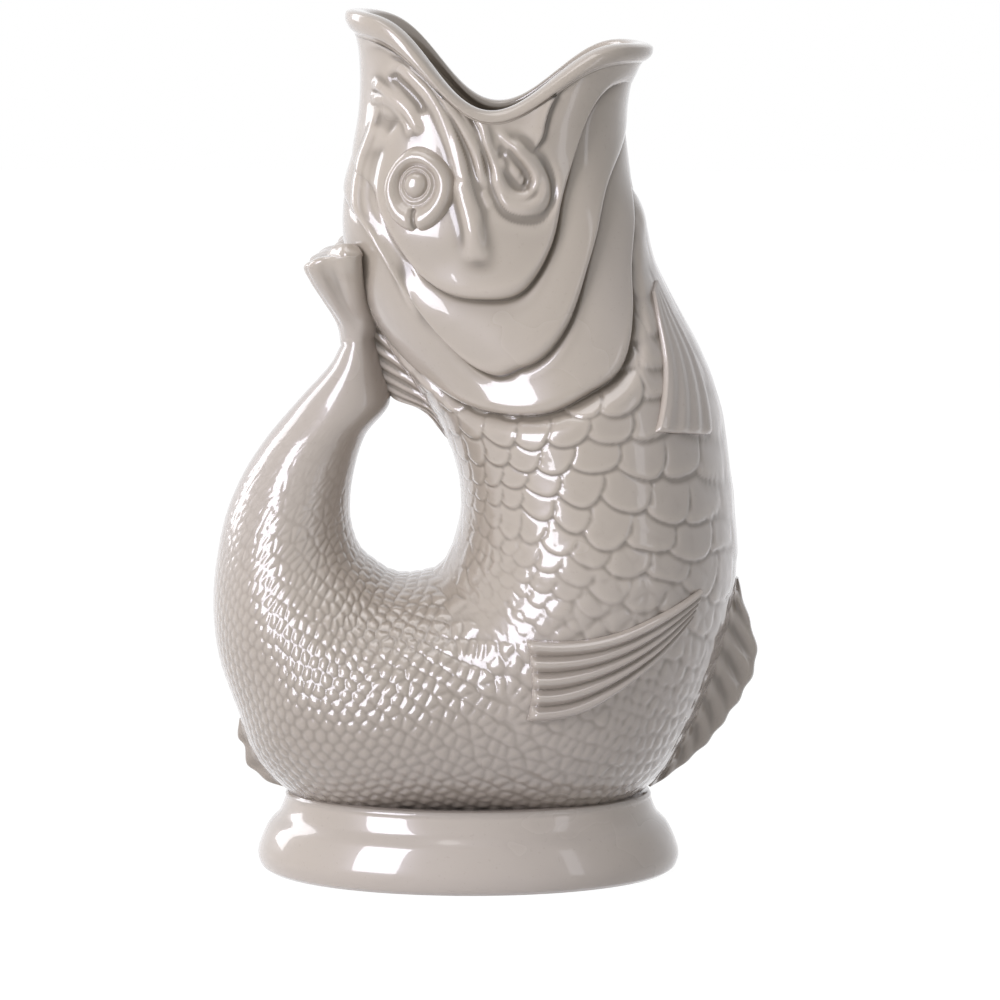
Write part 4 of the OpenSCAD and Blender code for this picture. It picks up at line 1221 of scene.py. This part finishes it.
class JUG_OT_foot(bpy.types.Operator):
    """Build the oval foot, hollow from above, with its ring and recess below"""

    bl_idname = "jug.foot"
    bl_label = "Foot"

    def execute(self, context):
        foot, wall = jug().foot, jug().skin.wall
        half = foot.length / 2
        outline = along(FOOT_SHARES[::-1], np.linspace(0, 1, 110))
        outside = np.stack([half - outline[:, 0] * foot.length, outline[:, 1] * foot.height], -1)
        inside = outside[-1, 0] - wall - foot.ledge
        ring = outside[0, 0] - foot.ring
        ceiling = foot.recess + foot.floor
        under = [
            [foot.pole, foot.recess], [ring - 0.5 * foot.bevel, foot.recess], [ring, 0.75 * foot.bevel],
            [ring + foot.bevel, 0],
        ]
        within = [
            [inside, foot.height], [inside, ceiling + foot.corner], [inside - foot.corner, ceiling],
            [foot.pole, ceiling],
        ]
        profile = np.concatenate([under, outside, within])
        a = np.linspace(0, 2 * np.pi, 384, endpoint=False)[None, :]
        r, z = profile[:, :1], profile[:, 1:]
        points = np.stack([r * np.cos(a), r * np.sin(a) * foot.depth / foot.length, z + 0 * a], -1)
        mesh = capped_mesh("foot", points)
        bare = np.zeros(len(mesh.vertices))
        bare[:(len(under) + 1) * a.size] = 1
        set_values(mesh, "bare", bare)
        add_piece("oval_foot", mesh, ["foot"])
        return {"FINISHED"}


class Value:
    """Output of a shader node that takes part in sums."""

    def __init__(self, shader, socket):
        self.shader, self.socket = shader, socket

    def sum(self, operation, *others):
        return self.shader.node("ShaderNodeMath", {"operation": operation}, dict(enumerate((self, *others))))

    def __add__(self, other):
        return self.sum("ADD", other)

    def __sub__(self, other):
        return self.sum("SUBTRACT", other)

    def __mul__(self, other):
        return self.sum("MULTIPLY", other)

    def __truediv__(self, other):
        return self.sum("DIVIDE", other)

    def __pow__(self, other):
        return self.sum("POWER", other)

    def __neg__(self):
        return self * -1

    def __rsub__(self, other):
        return self * -1 + other

    def __rtruediv__(self, other):
        return self**-1 * other

    __radd__ = __add__
    __rmul__ = __mul__

    def clamped(self, low=0.0, high=1.0):
        return self.sum("MAXIMUM", low).sum("MINIMUM", high)


class Shader:
    """Material or world whose nodes are all added by one method."""

    def __init__(self, owner):
        owner.use_nodes = True
        self.tree = owner.node_tree
        self.tree.nodes.clear()

    def node(self, kind, settings=None, inputs=None, output=0):
        made = self.tree.nodes.new(kind)
        for key, value in (settings or {}).items():
            setattr(made, key, value)
        for key, value in (inputs or {}).items():
            if isinstance(value, Value):
                self.tree.links.new(value.socket, made.inputs[key])
            else:
                made.inputs[key].default_value = value
        return Value(self, made.outputs[output] if len(made.outputs) else None)

    def blend(self, factor, first, second):
        """Colour between two."""
        settings = {"data_type": "RGBA", "clamp_factor": True}
        return self.node("ShaderNodeMix", settings, {0: factor, 6: first, 7: second}, 2)

    def shows_backdrop(self):
        """1 for the rays that show the white backdrop, 0 for those that light the jug."""
        kinds = ("Is Camera Ray", "Is Glossy Ray", "Is Transmission Ray")
        camera, glossy, clear = (self.node("ShaderNodeLightPath", output=kind) for kind in kinds)
        return (camera + glossy + clear).clamped()

    def noise(self, place, scale, detail=2.0, roughness=0.5):
        inputs = {"Vector": place, "Scale": scale, "Detail": detail, "Roughness": roughness}
        return self.node("ShaderNodeTexNoise", None, inputs)


@functools.lru_cache(maxsize=1)
def glaze_material():
    """Pearly glaze that gathers darker in lines and runs thin over ridges, with painted shade behind the gill
    covers' edges and low on the body.
    """
    look = jug().glaze
    material = bpy.data.materials.new("glaze")
    shader = Shader(material)
    place = shader.node("ShaderNodeTexCoord", output="Object")
    pool = shader.node("ShaderNodeAttribute", {"attribute_name": "pool"}, output="Fac")
    bare = shader.node("ShaderNodeAttribute", {"attribute_name": "bare"}, output="Fac")
    clouds = shader.noise(place, 22.0, 3.0)
    drift = shader.noise(place, 7.0, 1.0)
    grain = shader.noise(place, 900.0, 2.0, 0.6)
    base = shader.blend(((drift - 0.42) * 2.4).clamped(), tuple(look.glaze), tuple(look.pearl))
    base = shader.blend(((clouds - 0.35) * 0.5).clamped(0, 0.2), base, tuple(look.thin))
    base = shader.blend(((-pool) * 0.75).clamped(0, 0.6), base, tuple(look.thin))
    # Darker where glaze pools in lines and where painted shade lies behind the gill edges
    base = shader.blend((pool * 1.1).clamped(0, 0.85), base, tuple(look.pooled_and_shade))
    height = shader.node("ShaderNodeSeparateXYZ", None, {0: place}, output="Z")
    on_foot = ((FOOT_TOP - height) / (2 * MM)).clamped()
    # Painted shade: the lower body darker toward the table, but not the foot
    low_shade = ((look.shade_below - height) / look.shade_over).clamped(0, 0.45) * (1 - on_foot)
    base = shader.blend(low_shade, base, tuple(look.pooled_and_shade))
    base = shader.blend(on_foot * 0.5, base, tuple(look.thin))
    base = shader.blend(((grain - 0.66) * 3).clamped(0, 0.12), base, tuple(look.pooled_and_shade))
    base = shader.blend(bare, base, tuple(look.clay))
    rough = (clouds * 0.12 + 0.2 + bare * 0.5).clamped()
    ripple = shader.noise(place, 75.0, 1.5) + shader.noise(place, 240.0, 1.0) * 0.12
    bump = shader.node("ShaderNodeBump", None, {"Strength": 0.35, "Distance": 0.8 * MM, "Height": ripple})
    surface = shader.node("ShaderNodeBsdfPrincipled", None, {
        "Base Color": base, "Roughness": rough, "IOR": 1.5, "Coat Weight": (1 - bare - pool * 0.5).clamped(),
        "Coat Roughness": 0.035, "Coat IOR": 1.5, "Coat Tint": (0.97, 0.96, 1.0, 1),
        "Specular Tint": (0.94, 0.92, 1.0, 1), "Normal": bump,
    })
    shader.node("ShaderNodeOutputMaterial", None, {"Surface": surface})
    return material


def paper_material():
    """White paper under the jug, which the camera sees as the white of the picture."""
    material = bpy.data.materials.new("paper")
    shader = Shader(material)
    place = shader.node("ShaderNodeTexCoord", output="Object")
    fibre = shader.noise(place, 400.0, 3.0) * 0.02 + 0.86
    pale = shader.node("ShaderNodeCombineColor", None, {0: fibre, 1: fibre, 2: fibre})
    sheet = shader.node("ShaderNodeBsdfPrincipled", None, {"Base Color": pale, "Roughness": 0.9})
    white = shader.node("ShaderNodeEmission", None, {"Color": (1, 1, 1, 1), "Strength": 1.1})
    both = shader.node("ShaderNodeMixShader", None, {0: shader.shows_backdrop() * 0.89, 1: sheet, 2: white})
    shader.node("ShaderNodeOutputMaterial", None, {"Surface": both})
    return material


class JUG_OT_stage(bpy.types.Operator):
    """Set the white table, the soft lamps and the camera"""

    bl_idname = "jug.stage"
    bl_label = "Stage"

    def execute(self, context):
        look = jug().stage
        scene = context.scene
        bpy.ops.mesh.primitive_plane_add(size=6)
        table = context.object
        table.name = "table"
        table.data.materials.append(paper_material())
        aim = Vector(look.aim)
        lamps = (
            ("window", (-0.85, -0.95, 0.6), 0.55, 0.8, 14.0, (0.92, 0.92, 1.0)),
            ("strip", (0.9, -0.75, 0.3), 0.16, 0.9, 0.6, (0.92, 0.93, 1.0)),
            ("ceiling", (-0.2, -0.15, 1.5), 1.1, 0.8, 6.0, (1.0, 0.99, 0.97)),
            ("far_window", (-1.0, 0.55, 0.6), 0.4, 0.8, 4.0, (0.96, 0.97, 1.0)),
        )
        for name, place, wide, high, power, tint in lamps:
            data = bpy.data.lights.new(name, "AREA")
            data.shape = "RECTANGLE"
            data.size, data.size_y, data.energy, data.color = wide, high, power, tint
            lamp = bpy.data.objects.new(name, data)
            lamp.location = place
            lamp.rotation_euler = (aim - lamp.location).to_track_quat("-Z", "Y").to_euler()
            scene.collection.objects.link(lamp)
        world = bpy.data.worlds.new("room")
        scene.world = world
        shader = Shader(world)
        strength = shader.shows_backdrop() * (1 - look.room) + look.room
        room = shader.node("ShaderNodeBackground", None, {"Color": (1, 1, 1, 1), "Strength": strength})
        shader.node("ShaderNodeOutputWorld", None, {"Surface": room})
        view = Camera()
        data = bpy.data.cameras.new("camera")
        data.lens, data.sensor_width = look.lens, look.sensor
        data.clip_end = 20
        camera = bpy.data.objects.new("camera", data)
        camera.location = view.place.tolist()
        camera.rotation_euler = (aim - camera.location).to_track_quat("-Z", "Y").to_euler()
        scene.collection.objects.link(camera)
        scene.camera = camera
        scene.view_settings.view_transform = "Standard"
        return {"FINISHED"}


OPERATORS = (
    JUG_OT_foot, JUG_OT_body, JUG_OT_tail, JUG_OT_tail_fin, JUG_OT_head, JUG_OT_lips, JUG_OT_keel_fins,
    JUG_OT_side_fins, JUG_OT_eyes, JUG_OT_stage,
)


class JUG_PT_panel(bpy.types.Panel):
    """Buttons that build the parts of the jug"""

    bl_idname = "JUG_PT_panel"
    bl_label = "Gurgle Jug"
    bl_space_type = "VIEW_3D"
    bl_region_type = "UI"
    bl_category = "Jug"

    def draw(self, context):
        for operator in OPERATORS:
            self.layout.operator(operator.bl_idname)


GROUPS = (SkinSizes, FootSizes, ScaleSizes, HeadSizes, FinSizes, GlazeLook, StageLook, Jug)
CLASSES = (*GROUPS, *OPERATORS, JUG_PT_panel)


def register():
    for cls in CLASSES:
        bpy.utils.register_class(cls)
    bpy.types.Scene.jug = PointerProperty(type=Jug)


def unregister():
    del bpy.types.Scene.jug
    for cls in reversed(CLASSES):
        bpy.utils.unregister_class(cls)


def main():
    register()
    for operator in OPERATORS:
        group, name = operator.bl_idname.split(".")
        getattr(getattr(bpy.ops, group), name)()


if __name__ == "__main__":
    main()
